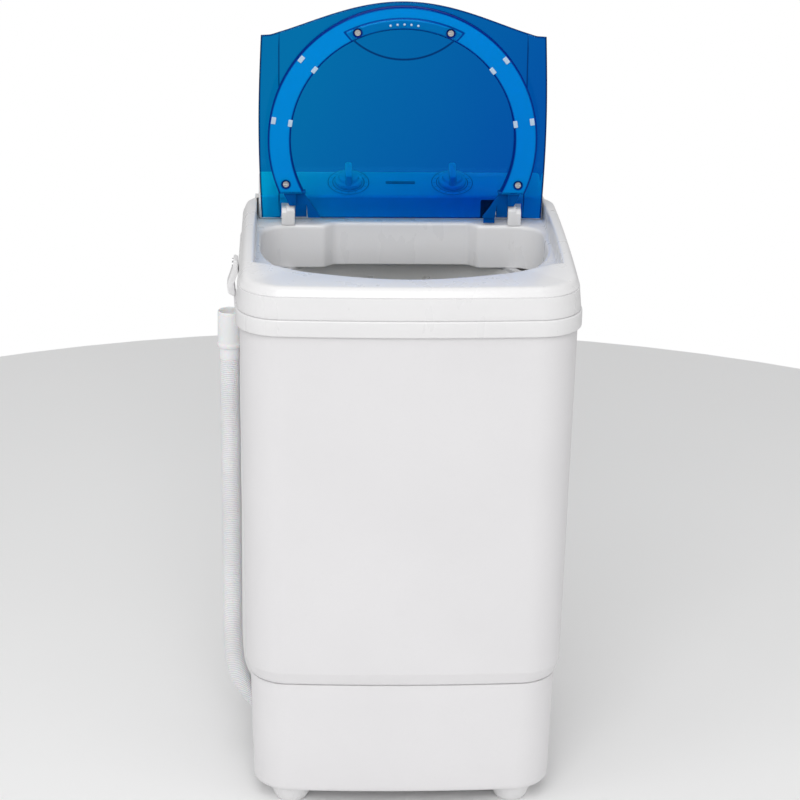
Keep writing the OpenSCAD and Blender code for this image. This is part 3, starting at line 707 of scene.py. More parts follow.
FINISHES = {
    "cabinet": Moulding("cabinet_grain", (0.765, 0.755, 0.765), 0.36, 0.012, 1100, 0.00004, 0.0001),
    "cover": Moulding("cover_gloss", (0.80, 0.795, 0.80), 0.28, 0.012, 700, 0.000004, 0.00003, coat=0.15),
    "tub": Moulding("tub_plastic", (0.74, 0.735, 0.72), 0.3, 0.02, 800, 0.00002, 0.00012),
    "panel": Moulding("panel_plastic", (0.80, 0.80, 0.80), 0.26, 0.015, 900, 0.00001, 0.00006),
    "knob": Moulding("knob_plastic", (0.82, 0.82, 0.82), 0.2, 0.015, 900, 0.00001, 0.00004, coat=0.3),
    "grey": Moulding("grey_plastic", (0.30, 0.31, 0.33), 0.5, 0.06, 600, 0.00005, 0.0001),
    "dark": Moulding("dark_plastic", (0.035, 0.036, 0.04), 0.4, 0.08, 600, 0.00004, 0.0001),
    "rubber": Moulding("seal_rubber", (0.028, 0.028, 0.03), 0.65, 0.1, 450, 0.00008, 0.0001),
    # Clips and grip nubs: their pale colour is partly their own and partly a painted highlight for the glints
    # on clear plastic.
    "clip": Moulding("pale_clip_painted_highlight", (0.46, 0.60, 0.76), 0.15, 0.02, 900, 0.00001, 0.00003, coat=0.5),
    # Lid and ring: the first two colours are the lit and shaded ends of a painted light slope, the third is
    # painted shade along edges, creases and recess lines; the ring's last number sets the painted shade in
    # its finger recess.
    "lid": Tinted("lid_tint", (0.0, 0.57, 0.96), (0.0, 0.29, 0.90), (0.0, 0.03, 0.25), 1.0, 0.02, 2.2),
    "ring": Tinted("ring_tint", (0.0, 0.38, 0.93), (0.0, 0.33, 0.92), (0.0, 0.02, 0.30), 0.42, 0.08, 2.8,
                   0.75),
    "pale_seal": Moulding("pale_seal", (0.55, 0.55, 0.56), 0.6, 0.05, 500, 0.00005, 0.0001),
    "steel": Metal("zinc_steel", (0.62, 0.62, 0.63), 0.28),
    "sheet_steel": Metal("sheet_steel", (0.50, 0.51, 0.52), 0.4, (1, 0.08, 1)),
    "cast": Metal("cast_metal", (0.45, 0.45, 0.46), 0.5, (1, 1, 1), 0.00008),
    "hose": HoseSkin("hose_skin", (0.86, 0.86, 0.87), (0.56, 0.56, 0.58)),
    "dial": DialPrint("dial_print", (0.80, 0.80, 0.80), (0.10, 0.14, 0.22)),
}
MADE: dict = {}


def finish(name: str) -> bpy.types.Material:
    """The material of a named finish, built once.

    Args:
        name: key in FINISHES.

    Returns:
        The material.
    """
    if name not in MADE:
        MADE[name] = FINISHES[name].make()
    return MADE[name]


# ---------- Pieces ----------


def enrol(name: str, mesh: bpy.types.Mesh, look: str, body: Body, stands_for: tuple,
          sharp: float) -> bpy.types.Object:
    """Shade and dress a mesh, and put it on its body as a piece.

    Args:
        name: the piece's name.
        mesh: its mesh in metres.
        look: key in FINISHES.
        body: the body it rides on.
        stands_for: CAD nodes that it replaces.
        sharp: angle in degrees above which an edge stays sharp.

    Returns:
        The object.
    """
    mesh.polygons.foreach_set("use_smooth", np.ones(len(mesh.polygons), bool))
    mesh.set_sharp_from_angle(angle=math.radians(sharp))
    mesh.materials.append(finish(look))
    mesh.update()
    made = bpy.data.objects.new(name, mesh)
    bpy.context.scene.collection.objects.link(made)
    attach(made, body.value)
    if stands_for:
        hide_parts(*stands_for)
    LOG.info("%s: %d faces on %s", name, len(mesh.polygons), body.value)
    return made


def piece(name: str, shell: Shell, look: str, body: Body, stands_for: tuple = (),
          sharp: float = 38) -> bpy.types.Object:
    """Make a Blender object of a shell and put it on its body.

    Args:
        name: the piece's name.
        shell: its surface in millimetres.
        look: key in FINISHES.
        body: the body it rides on.
        stands_for: CAD nodes that it replaces.
        sharp: angle in degrees above which an edge stays sharp.

    Returns:
        The object.
    """
    mesh = bpy.data.meshes.new(name)
    faces = shell.quads.tolist() + [cap.tolist() for cap in shell.caps]
    mesh.from_pydata((shell.points * MM).tolist(), [], faces)
    for key, values in shell.marks.items():
        mesh.attributes.new(key, "FLOAT", "POINT").data.foreach_set("value", values.astype(np.float32))
    return enrol(name, mesh, look, body, stands_for, sharp)


def smooth_copy(node: str, look: str, body: Body, sharp: float = 28) -> bpy.types.Object:
    """A CAD node's shape with its corner points merged, so that its round faces shade smoothly.

    Args:
        node: the CAD node.
        look: key in FINISHES.
        body: the body it rides on.
        sharp: angle in degrees above which an edge stays sharp.

    Returns:
        The object, which stands for the node.
    """
    mesh = frame["nodes"][node].data
    points = np.zeros(len(mesh.vertices) * 3)
    mesh.vertices.foreach_get("co", points)
    corners = np.zeros(len(mesh.loops), int)
    mesh.loops.foreach_get("vertex_index", corners)
    places = np.round(points.reshape(-1, 3), 6)
    unique, back = np.unique(places, axis=0, return_inverse=True)
    faces = back.reshape(-1)[corners].reshape(-1, 3)
    whole = (faces[:, 0] != faces[:, 1]) & (faces[:, 1] != faces[:, 2]) & (faces[:, 2] != faces[:, 0])
    copy = bpy.data.meshes.new(node + "_body")
    copy.from_pydata(unique.tolist(), [], faces[whole].tolist())
    return enrol(copy.name, copy, look, body, (node,), sharp)


# ---------- Body outline ----------


@dataclass
class Outline:
    """Plan view of the body at any half width, and its distance from the middle in given directions."""

    half: float
    corner: float = 48.0
    bow: float = 2200.0

    def at(self, width: float) -> Array:
        """Rounded rectangle whose front bows outwards on a large arc.

        Args:
            width: half width of the body there.

        Returns:
            Dense outline points.
        """
        front, back = -(self.half - 2), self.half - 3
        corners = [(self.half, back), (-self.half, back), (-self.half, front), (self.half, front)]
        points = dense(rounded(corners, self.corner, 24))
        reach = np.minimum(np.abs(points[:, 0]), self.half - self.corner)
        sag = self.bow - np.sqrt(self.bow**2 - reach**2)
        points[:, 1] += np.where(points[:, 1] < 0, sag, 0)
        return points * (width / self.half)

    def row(self, width: float, angles: Array) -> Array:
        """Distance of the outline from the middle in each direction.

        Args:
            width: half width of the body there.
            angles: directions in radians.

        Returns:
            One distance for each direction.
        """
        return radius_at(self.at(width), angles)


def lifted(radius: Array, angles: Array, height: Array | float) -> Array:
    """Row of points at given distances and heights.

    Args:
        radius: distance from the middle in each direction.
        angles: the directions.
        height: one height, or one for each direction.

    Returns:
        columns x 3 points.
    """
    z = np.broadcast_to(height, angles.shape)
    return np.column_stack([radius * np.cos(angles), radius * np.sin(angles), z])


def directions(count: int, keys: list) -> Array:
    """Directions round the body, evenly spaced, with extra ones through key points.

    Args:
        count: number of even directions.
        keys: (x, y) points that a column has to pass through.

    Returns:
        Sorted directions in radians.
    """
    even = np.linspace(-np.pi, np.pi, count, endpoint=False)
    extra = np.array([math.atan2(y, x) for x, y in keys])
    clear = np.abs(even[:, None] - extra).min(axis=1) > np.pi / count
    return np.unique(np.concatenate([even[clear], extra]))


# ---------- Casing ----------


@dataclass
class Casing:
    """Base, cabinet, feet and rear panel."""

    wall: float = 3.0
    notch: float = 16.0
    notch_top: float = 76.0
    notch_x: float = -158.0
    shelf: float = 549.0
    shelf_hole: float = 156.0
    tub_y: float = 10.0
    gap: float = 0.5
    foot_rise: float = 14.5
    foot_in: float = 4.5
    taper: float = 5.0
    base_half: float = 168.0
    base_top: float = 158.0
    opening_in: float = 7.0
    foot_r: float = 24.0

    def build(self, outline: Outline) -> None:
        """Make the casing's pieces.

        Args:
            outline: the body's plan.
        """
        self.cabinet(outline)
        self.base(outline)
        self.feet()
        smooth_copy("rear_panel", "cabinet", Body.HOUSING)

    def cabinet(self, outline: Outline) -> None:
        """Tall shell that flares just above its foot, with a shallow pocket behind the rear panel.

        The outside is a stack of body outlines whose half width grows in a straight line with
        height. It turns over the rim and comes down again inside, and so it is one closed skin.

        Args:
            outline: the body's plan.
        """
        low, high = box_mm("cabinet")
        panel_low, panel_high = box_mm("rear_panel")
        gap = self.gap
        side = panel_high[0] + gap
        back = high[1]
        keys = [(s * (side + d), back) for s in (-1, 1) for d in (0, 0.4)]
        angles = directions(560, keys)
        z0, z2 = low[2], high[2]
        w2 = high[0]
        w1 = w2 - self.taper
        z1 = z0 + self.foot_rise
        w0 = w1 - self.foot_in
        floor, roof = panel_low[2] - gap, panel_high[2] + gap
        climb = np.unique(np.concatenate([np.linspace(z1 + 1.6, z2 - 0.8, 16),
                                          [floor - 0.4, floor, roof, roof + 0.4]]))
        rows = [(w0 - 6.5, z0 + 2), (w0 - 2.6, z0 + 0.5), (w0 - 0.9, z0), (w0 - 0.2, z0 + 0.5),
                (w0 + 0.3, z0 + 1.8), (w0 + 1.4, z0 + 5), (w0 + 3.1, z0 + 10.5), (w0 + 3.9, z0 + 13),
                (w0 + 4.4, z1)]
        rows += [(w1 + (w2 - w1) * (z - z1) / (z2 - z1), z) for z in climb]
        inside = [(w2 - 2.7, z2), (w2 - 3, z2 - 0.8), (w2 - 3.4, 540), (w0 - 3, 300), (w0 - 6.6, z0 + 6)]
        rows += [(w2 - 0.3, z2)] + inside
        grid = np.array([lifted(outline.row(w, angles), angles, z) for w, z in rows])
        outside = np.arange(len(rows))[:, None] < len(rows) - len(inside)
        x, y, z = grid[..., 0], grid[..., 1], grid[..., 2]
        sunk = outside & (np.abs(x) < side + 0.2) & (y > 100) & (z > floor - 0.1) & (z < roof + 0.1)
        grid[..., 1] = np.where(sunk, panel_low[1] - 0.6, y)
        rim = outline.row(w2 - self.wall, angles)
        circle = np.column_stack([self.shelf_hole * np.cos(angles),
                                  self.tub_y + self.shelf_hole * np.sin(angles)])
        hole = radius_at(circle, angles)
        over = self.shelf + self.wall
        shelf = [(rim, self.shelf), (hole, self.shelf), (hole, over), (rim, over)]
        ledge = Shell.from_grid(np.array([lifted(r, angles, z) for r, z in shelf]), wrap_rows=True)
        shell = joined([Shell.from_grid(grid, wrap_rows=True), ledge])
        piece("cabinet_shell", shell, "cabinet", Body.HOUSING, ("cabinet",), 50)

    def base(self, outline: Outline) -> None:
        """Moulded base with rounded lower edges and an arched notch for the hose.

        Rows run from the opening under the drive outwards, round the lower edge and up to the lip
        that the cabinet sits on. Above the notch the rows bend up by the height of a half circle,
        which fades out with height. The skin gets its wall from a Solidify modifier.

        Args:
            outline: the body's plan.
        """
        low, high = box_mm("base")
        cover_low, cover_high = box_mm("underside_cover")
        z0 = low[2]
        w0, w1 = self.base_half, high[0]
        top = self.base_top
        keys = [(-w0, s * (self.notch + d)) for s in (-1, 1) for d in (0, 0.5, -0.3, -1.2, -3)]
        angles = directions(480, keys)
        left, near = cover_low[:2] + self.opening_in
        right, far = cover_high[:2] - self.opening_in
        opening = rounded([(right, far), (left, far), (left, near), (right, near)], 4)
        rows = [lifted(radius_at(dense(opening), angles), angles, z0)]
        under = [(150, z0), (-self.notch_x, z0), (163.4, z0 + 0.3), (166, z0 + 1.5), (167.5, z0 + 4),
                 (w0, z0 + 8)]
        climb = (self.notch_top, 84, 92, 100, 110, 120, 140, top - 0.8)
        sides = [(w0 + (w1 - w0) * (z - z0) / (top - z0), z) for z in climb]
        lip = [(w1 - 0.3, top - 0.2), (w1 - 1, top), (w1 - 2.6, top + 0.2), (w1 - 3, top + 0.8),
               (w1 - 3, top + 13)]
        rows += [lifted(outline.row(w, angles), angles, z) for w, z in under + sides + lip]
        grid = np.array(rows)
        x, y, z = grid[..., 0], grid[..., 1], grid[..., 2]
        arch = np.sqrt(np.maximum(self.notch**2 - y**2, 0)) * (x < 0)
        grid[..., 2] = z + arch * np.clip((120 - z) / (120 - self.notch_top), 0, 1) * (z > self.notch_top - 1)
        shell = Shell.from_grid(grid)
        middle = shell.points[shell.quads].mean(axis=1)
        row = np.repeat(np.arange(len(rows) - 1), len(angles))
        first, last = 2, len(under)
        cut = (middle[:, 0] < self.notch_x + 2) & (np.abs(middle[:, 1]) < self.notch)
        cut &= (row >= first) & (row <= last)
        shell.quads = shell.quads[~cut]
        shell.caps = []
        made = piece("base_shell", shell, "cabinet", Body.HOUSING, ("base",), 50)
        wall = made.modifiers.new("wall", "SOLIDIFY")
        wall.thickness = self.wall * MM
        wall.offset = -1

    def feet(self) -> None:
        """Four moulded feet: a flared cone with a short pad and a recess for its screw."""
        high = box_mm("feet")[1]
        out = self.foot_r
        x, y, top = high[0] - out, high[1] - out, high[2]
        profile = [(7, 8), (7, 0.7), (7.7, 0), (16.0, 0), (16.8, 0.5), (17.4, 1.4), (19.6, 5), (21.2, 8.5),
                   (23.2, top - 4), (out, top - 1), (out, top), (3, top), (3, 8)]
        foot = turned(profile, 72)
        feet = [foot.moved(np.eye(3), (sx * x, sy * y, 0)) for sx in (-1, 1) for sy in (-1, 1)]
        piece("feet_moulded", joined(feet), "cover", Body.HOUSING, ("feet",))


# ---------- Top cover ----------


@dataclass
class TopCover:
    """Cover with its band, crowned rim, lid seat and stepped well."""

    seat_half: float = 165.5
    seat_front: float = 105.0
    seat_swell: float = 38.0
    seat_back: float = 171.0
    well_r: float = 160.0
    well_y: float = 20.0
    well_back: float = 98.0
    step_in: float = 77.0
    step_out: float = 88.0
    step_depth: float = 12.0
    crown: float = 10.5
    skirt_drop: float = 11.0
    seat_depth: float = 13.0

    def seat(self, grow: float) -> Array:
        """Outline of the lid's seat, whose front swells like a bell in the middle.

        Args:
            grow: how far it is grown.

        Returns:
            Dense outline points.
        """
        x = np.linspace(-self.seat_half, self.seat_half, 241)
        reach = np.minimum(np.abs(x), 150)
        bell = np.where(np.abs(x) < 150, (0.5 + 0.5 * np.cos(np.pi * reach / 150)) ** 0.6, 0)
        edge = self.seat_front - 4 * (np.abs(x) / self.seat_half) ** 12
        front = np.column_stack([x, -edge - self.seat_swell * bell])
        back = np.array([[self.seat_half, self.seat_back], [-self.seat_half, self.seat_back]])
        return dense(grown(dense(np.vstack([front, back])), grow))

    def well(self, grow: float) -> Array:
        """Outline of the well: round in front, stepped behind, with rounded corners.

        Args:
            grow: how far it is grown.

        Returns:
            Dense outline points.
        """
        turn = np.linspace(np.pi, 2 * np.pi, 90)
        front = np.column_stack([self.well_r * np.cos(turn), self.well_y + self.well_r * np.sin(turn)])
        deep = self.well_back + self.step_depth
        half = [(self.well_r, self.well_back), (self.step_out, self.well_back), (self.step_in, deep)]
        corners = half + [(-x, y) for x, y in half[::-1]]
        stepped = rounded([(self.well_r, self.well_y)] + corners + [(-self.well_r, self.well_y)],
                          [1, 34, 7, 9, 9, 7, 34, 1], 12)
        back = stepped[stepped[:, 1] > self.well_y + 2]
        order = np.argsort(np.arctan2(back[:, 1] - self.well_y, back[:, 0]))
        return dense(grown(dense(np.vstack([front, back[order]])), grow))

    def rise(self, x: Array, y: Array) -> Array:
        """How far the rim is raised: a long crown on each side that fades to the front.

        Args:
            x: across.
            y: front to back.

        Returns:
            The heights.
        """
        run = np.where(y < 0, 1 - (y / 148) ** 2, 1 - 0.5 * (y / 141) ** 2)
        return self.crown * np.clip(run, 0, 1) * smooth_step(np.abs(x), 105, 165)

    def build(self, outline: Outline) -> None:
        """Make the cover as one closed skin.

        Rows go from the band's lower edge up its outside, over the rim, down the seat's wall,
        across the ledge, down the well, and back underneath. Each row is the body's outline, the
        seat's or the well's, at one height, and the rim rows are raised by the crown.

        Args:
            outline: the body's plan.
        """
        low, high = box_mm("top_cover")
        w, z0, rim = high[0], low[2] + self.skirt_drop, high[2]
        ledge = rim - self.seat_depth
        skirt = low[2]
        corners = [(s * self.seat_half, y) for s in (-1, 1) for y in (-94, self.seat_back)]
        angles = directions(640, corners)

        def body(width: float, z: float, raised: float = 0) -> tuple:
            """Row on the body's outline."""
            return outline.row(width, angles), z, raised

        seat_edge = radius_at(self.seat(0), angles)

        def seat(grow: float, z: float, raised: float = 0) -> tuple:
            """Row on the seat's outline."""
            return seat_edge + grow, z, raised

        well_edge = radius_at(self.well(0), angles)

        def well(grow: float, z: float) -> tuple:
            """Row on the well's outline, kept inside the seat."""
            return np.minimum(well_edge + grow, seat_edge - 1.6 + 0.1 * grow), z, 0

        band = [(3, 3), (3, 0.7), (2.4, 0), (0.9, 0), (0.2, 0.5), (0, 1.6), (0, 9), (0, 16.6), (0.2, 17.4),
                (0.7, 17.9), (2.7, 18.1), (2.8, 18.8), (1.4, 19.1), (1.3, 19.8)]
        bead = [(2.0, 27, 0.1), (2.9, 36, 0.3), (3.3, 41.5, 0.5), (3.4, 42.0, 0.53), (4.4, 42.3, 0.55),
                (4.4, 42.9, 0.57), (3.9, 43.3, 0.59), (4.3, 44.6, 0.62), (5.0, 45.4, 0.66),
                (5.9, 47.4, 0.76), (7.0, 49.6, 0.86), (8.4, 51.5, 0.94)]
        wall = [(3.6, rim, 1), (1.8, rim - 0.1, 1), (0.6, rim - 0.7, 1), (0, rim - 1.8, 0.95),
                (0, rim - 6, 0.6), (-0.1, ledge + 1.8, 0.1), (-0.7, ledge + 0.5, 0), (-1.6, ledge, 0)]
        down = [(5, ledge), (2.6, ledge - 0.3), (1.1, ledge - 1.3), (0.3, ledge - 3), (0, ledge - 5.5),
                (0, ledge - 25), (0, skirt + 1.6), (0.6, skirt + 0.4), (1.5, skirt), (2.4, skirt + 0.4),
                (3, skirt + 1.6), (3, ledge - 7)]
        rows = [body(w - inward, z0 + up) for inward, up in band]
        rows += [body(w - inward, z0 + up, raised) for inward, up, raised in bead]
        rows += [body(w - 10.4, rim - 0.5, 1), body(w - 12.6, rim - 0.1, 1)]
        rows += [seat(grow, z, raised) for grow, z, raised in wall]
        rows += [well(grow, z) for grow, z in down]
        rows += [body(w - 12, ledge - 7), body(w - 8, ledge - 10), body(w - 6, ledge - 20)]
        grid = []
        for radius, z, raised in rows:
            points = lifted(radius, angles, z)
            points[:, 2] += raised * self.rise(points[:, 0], points[:, 1])
            grid.append(points)
        piece("cover_moulding", Shell.from_grid(np.array(grid), wrap_rows=True), "cover", Body.HOUSING,
              ("top_cover",), 60)


# ---------- Controls ----------


@dataclass
class Controls:
    """Control panel, its two dials and the lid switch behind its window."""

    dial_r: float = 25.0
    knob_r: float = 16.0
    grip: float = 4.2
    shoulder: float = 639.0

    def build(self) -> None:
        """Make the panel, the dial faces, the knobs and the switch."""
        low, high = box_mm("control_panel")
        shoulder = self.shoulder
        corners = [(low[1], low[2]), (high[1], low[2]), (high[1], high[2]), (low[1], shoulder)]
        section = rounded(corners, [2, 2.5, 5, 4], 8)
        bar = plate(section, low[0], high[0], 4.0).moved(ALONG_X, (0, 0, 0))
        piece("panel_moulding", bar, "panel", Body.HOUSING, ("control_panel",), 50)
        tilt = math.degrees(math.atan2(high[2] - shoulder, high[1] - low[1]))
        middle = np.array([0, (low[1] + high[1]) / 2, (shoulder + high[2]) / 2])
        x = box_mm("selector_knob")[1][0] - self.knob_r
        faces = [self.face().moved(turn_x(tilt), middle + (s * x, 0, 0)) for s in (-1, 1)]
        piece("dial_faces", joined(faces), "dial", Body.HOUSING, ("dial_rings",))
        for node, s, body in (("timer_knob", -1, Body.TIMER), ("selector_knob", 1, Body.SELECTOR)):
            knob = self.knob().moved(turn_x(tilt), middle + (s * x, 0, 0))
            piece(node + "_moulding", knob, "knob", body, (node,))
        self.badge(tilt, middle)
        self.switch(low[1])

    def face(self) -> Shell:
        """Thin dial face that holds its own flat coordinates.

        Returns:
            The shell, face up about the origin.
        """
        disc = turned([(5.2, -0.3), (5.2, 0.45), (5.35, 0.6), (12, 0.6), (18, 0.6), (self.dial_r - 0.4, 0.6),
                       (self.dial_r, 0.3), (self.dial_r, -0.3)], 120)
        disc.marks = {"dial_u": disc.points[:, 0].copy(), "dial_v": disc.points[:, 1].copy()}
        return disc

    def knob(self) -> Shell:
        """Knob: a stepped round skirt with an upright finger bar and a pointer ridge.

        Returns:
            The shell about the origin.
        """
        r = self.knob_r
        skirt = turned([(r - 0.6, 1), (r, 1.6), (r, 4.4), (r - 0.4, 5.4), (r - 1.4, 6), (r - 4, 6.3),
                        (r - 4.6, 7.4), (r - 5.2, 9.2), (r - 6.4, 9.9)], 72, closed=False)
        length = r - 1.2
        bar = rounded([(-self.grip, -length), (self.grip, -length), (self.grip, length),
                       (-self.grip, length)], 3.6, 9)
        waist = 1 - 0.16 * np.cos(np.pi * bar[:, 1] / (2 * length)) ** 2
        bar = np.column_stack([bar[:, 0] * waist, bar[:, 1]])
        grip = plate(bar, 5.5, 19, 0.4, 1.5)
        line = rounded([(-0.7, 3), (0.7, 3), (0.7, length - 2), (-0.7, length - 2)], 0.6, 5)
        ridge = plate(line, 18.5, 19.4, 0.1, 0.3)
        return joined([skirt, grip, ridge])

    def badge(self, tilt: float, middle: Array) -> None:
        """Plain raised bar in the middle of the panel, with nothing on it.

        Args:
            tilt: slope of the panel in degrees.
            middle: middle of the sloping face.
        """
        bar = plate(rounded([(-17, -2.4), (17, -2.4), (17, 2.4), (-17, 2.4)], 1.2, 5), -0.2, 0.7, 0.1, 0.4)
        piece("panel_badge", bar.moved(turn_x(tilt), middle), "grey", Body.HOUSING)

    def switch(self, front: float) -> None:
        """Lid switch: a dark box whose framed window stands a little proud of the panel.

        Args:
            front: Y of the panel's front face.
        """
        low, high = box_mm("lid_switch")
        inner = rounded([(low[0], low[2]), (high[0], low[2]), (high[0], high[2]), (low[0], high[2])], 1.5, 5)
        case = plate(inner, front - 0.3, high[1], 0.3).moved(ALONG_Y, (0, 0, 0))
        rim = plate(grown(inner, 0.6), front - 0.2, front + 1.2, 0.4).moved(ALONG_Y, (0, 0, 0))
        piece("switch_case", joined([case, rim]), "dark", Body.HOUSING, ("lid_switch",))


# ---------- Lid ----------


@dataclass
class Lid:
    """See-through lid with its splash ring, drawn closed about its hinge and then set open."""

    rest: float = 92.1
    half: float = 160.0
    front: float = 205.5
    swell: float = 37.5
    rear: float = 6.0
    under: float = -2.0
    thick: float = 3.2
    crease: float = 140.0
    droop: float = 8 / 25
    ring_v: float = 86.7
    ring_out: float = 152.5
    ring_in: float = 126.5
    ring_low: float = -14.0
    ring_stop: float = 25.5
    ring_wall: float = 2.6
    notch: tuple = (107.0, 138.5, 11.2)
    clip_turns: tuple = (-9, -39, -141, -171)
    screws: tuple = ((52.0, 209.5), (132.0, 36.0))

    def __post_init__(self) -> None:
        """Take the hinge axis from the frame."""
        joint = next(j for j in frame["joints"] if j["name"] == "lid_hinge")
        self.axis = np.array(joint["pos_m"]) / MM

    def set_open(self, shell: Shell) -> Shell:
        """A shell drawn with the lid closed, turned up about the hinge axis.

        Args:
            shell: surface with X across, -Y towards the lid's front edge and Z up.

        Returns:
            The shell at the rest pose.
        """
        return shell.moved(turn_x(-self.rest), self.axis)

    def build(self) -> None:
        """Make the sheet, the ring and the small parts on it."""
        self.sheet()
        self.ring()
        self.clips()
        self.grip_nubs()

    def edge(self, x: Array) -> Array:
        """Distance of the lid's front edge from the hinge, a bell curve in the middle.

        Args:
            x: across.

        Returns:
            One distance for each x.
        """
        reach = np.minimum(np.abs(x), 150)
        return self.front + self.swell * (0.5 + 0.5 * np.cos(np.pi * reach / 150)) ** 0.6

    def spot(self, s: Array, t: Array, grow: float) -> tuple[Array, Array]:
        """Place on the lid: s runs across from side to side, t from the hinge to the front edge.

        The width swells by a half sine along the length, and the front edge is the bell curve.

        Args:
            s: from -1 to 1.
            t: from 0 to 1.
            grow: how far the outline is grown.

        Returns:
            x and the distance from the hinge.
        """
        x = s * self.half
        start, stop, deep = self.notch
        knots = [0, start - 0.5, start + 0.5, stop - 0.5, stop + 0.5, self.half]
        depths = [-self.rear, -self.rear, deep, deep, -self.rear, -self.rear + 2]
        back = np.interp(np.abs(x), knots, depths) - grow
        v = back + t * (self.edge(x) + grow - back)
        side = self.half + grow + 3 * np.sin(np.pi * np.clip(v / self.front, 0, 1))
        return s * side, v

    def lens(self, x: Array, v: Array) -> Array:
        """Depth inside the finger recess, the overlap of two circles; below 0 outside it.

        Args:
            x: across.
            v: distance from the hinge.

        Returns:
            Distance to the nearer of the two arcs.
        """
        return np.minimum(148 - np.hypot(x, v - 78), 84.5 - np.hypot(x, v - 262))

    def sheet(self) -> None:
        """The lid's sheet: flat in the middle, drooping wings, a bull-nosed edge and a recess.

        Its upper and lower faces are grids over s and t. Their borders are joined by loops that
        grow outwards by a sine while the height falls by a cosine, so that the edge is round.
        """
        start, stop, _ = self.notch
        keys = np.array([start - 0.5, start + 0.5, stop - 0.5, stop + 0.5, self.crease - 0.6, self.crease,
                         self.crease + 0.6])
        s = np.unique(np.concatenate([np.linspace(-1, 1, 151), keys / self.half, -keys / self.half]))
        t = np.unique(np.concatenate([np.linspace(0, 0.7, 50), np.linspace(0.7, 1, 62)]))
        tt, ss = np.meshgrid(t, s, indexing="ij")
        nose = self.thick / 2

        def middle_height(x: Array) -> Array:
            """Height of the sheet's middle surface, falling on the wings."""
            return self.under + nose - self.droop * np.maximum(np.abs(x) - self.crease, 0)

        def layer(side: int) -> Array:
            """Points of one face of the sheet.

            Args:
                side: 1 for the upper face, -1 for the lower.

            Returns:
                Its points, row after row.
            """
            x, v = self.spot(ss, tt, -nose)
            z = middle_height(x) + side * nose
            if side > 0:
                z = z - 1.2 * smooth_step(self.lens(x, v), -0.4, 2.2)
            return np.stack([x, -v, z], axis=2).reshape(-1, 3)

        rows, cols = tt.shape
        index = np.arange(rows * cols).reshape(rows, cols)
        loop = np.concatenate([index[0, :-1], index[:-1, -1], index[-1, :0:-1], index[:0:-1, 0]])
        turns = np.linspace(0, np.pi, 7)[1:-1]
        border = []
        for turn in turns:
            x, v = self.spot(ss.ravel()[loop], tt.ravel()[loop], -nose + nose * math.sin(turn))
            border.append(np.stack([x, -v, middle_height(x) + nose * math.cos(turn)], axis=1))
        points = np.concatenate([layer(1), layer(-1)] + border)
        quads = np.stack([index[:-1, :-1], index[:-1, 1:], index[1:, 1:], index[1:, :-1]], axis=2)
        quads = quads.reshape(-1, 4)
        count = rows * cols
        around = np.arange(len(loop))
        between = [2 * count + k * len(loop) + around for k in range(len(turns))]
        loops = [loop] + between + [loop + count]
        strips = [np.stack([a, b, np.roll(b, -1), np.roll(a, -1)], axis=1)
                  for a, b in zip(loops[:-1], loops[1:])]
        faces = np.concatenate([quads, quads[:, ::-1] + count] + strips)
        x, v = points[:, 0], -points[:, 1]
        # Distances to the outline, the wing creases and the recess outline; they drive the painted shade
        # lines of the lid's finish.
        near = np.minimum(self.half + 3 * np.sin(np.pi * np.clip(v / self.front, 0, 1)) - np.abs(x),
                          np.minimum((self.edge(x) - v) * 0.93, v + self.rear))
        marks = {"rim_mm": np.clip(near, 0, 20), "crease_mm": np.clip(np.abs(np.abs(x) - self.crease), 0, 20),
                 "lens_mm": np.clip(self.lens(x, v), -20, 20)}
        shell = self.set_open(Shell(points, faces, [], marks).outward())
        piece("lid_sheet", shell, "lid", Body.LID, ("lid_panel",), 50)

    def ring(self) -> None:
        """Splash ring: a channel bent into an arch, with legs, gussets and hinge knuckles.

        The channel's profile is carried round the arch. Its end on each side is where the arch
        meets the straight line across the lid, so each radius has an end angle of its own.
        """
        top = self.under - 0.3
        low, wall = self.ring_low, self.ring_wall
        ro, ri = self.ring_out, self.ring_in
        face = [(r, low) for r in np.linspace(ro - 2.4, ri + 2.4, 18)]
        floor = [(r, low + wall) for r in np.linspace(ri + wall, ro - wall, 18)]
        profile = np.array([(ro, top), (ro, low + 1.6), (ro - 0.5, low + 0.5), (ro - 1.4, low)] + face
                           + [(ri + 1.4, low), (ri + 0.5, low + 0.5), (ri, low + 1.6), (ri, top)]
                           + [(ri + wall, top)] + floor + [(ro - wall, top)])
        share = np.linspace(-1, 1, 481)
        end = np.arccos(np.clip((self.ring_stop - self.ring_v) / profile[:, 0], -1, 1))
        angle = share[:, None] * end
        x, v = profile[:, 0] * np.sin(angle), self.ring_v + profile[:, 0] * np.cos(angle)
        z = np.broadcast_to(profile[:, 1], angle.shape)
        far = np.min([np.hypot(np.abs(x) - sx, v - sv) for sx, sv in self.screws], axis=0)
        outer = z < low + 0.1
        inner = np.abs(z - low - wall) < 0.1
        lens = self.lens(x, v)
        z = z + 3 * outer * (1 - smooth_step(far, 3.7, 4.7)) + 3 * inner * (1 - smooth_step(far, 5.4, 6.4))
        z = z - 0.9 * outer * smooth_step(lens, -0.3, 2.5) * smooth_step(far, 4.6, 6)
        # Distance to the channel's edges, which drives the painted shade along them.
        near = np.minimum(ro - profile[:, 0], profile[:, 0] - ri)
        near = near + np.maximum(profile[:, 1] - low - 1, 0) * 0.15
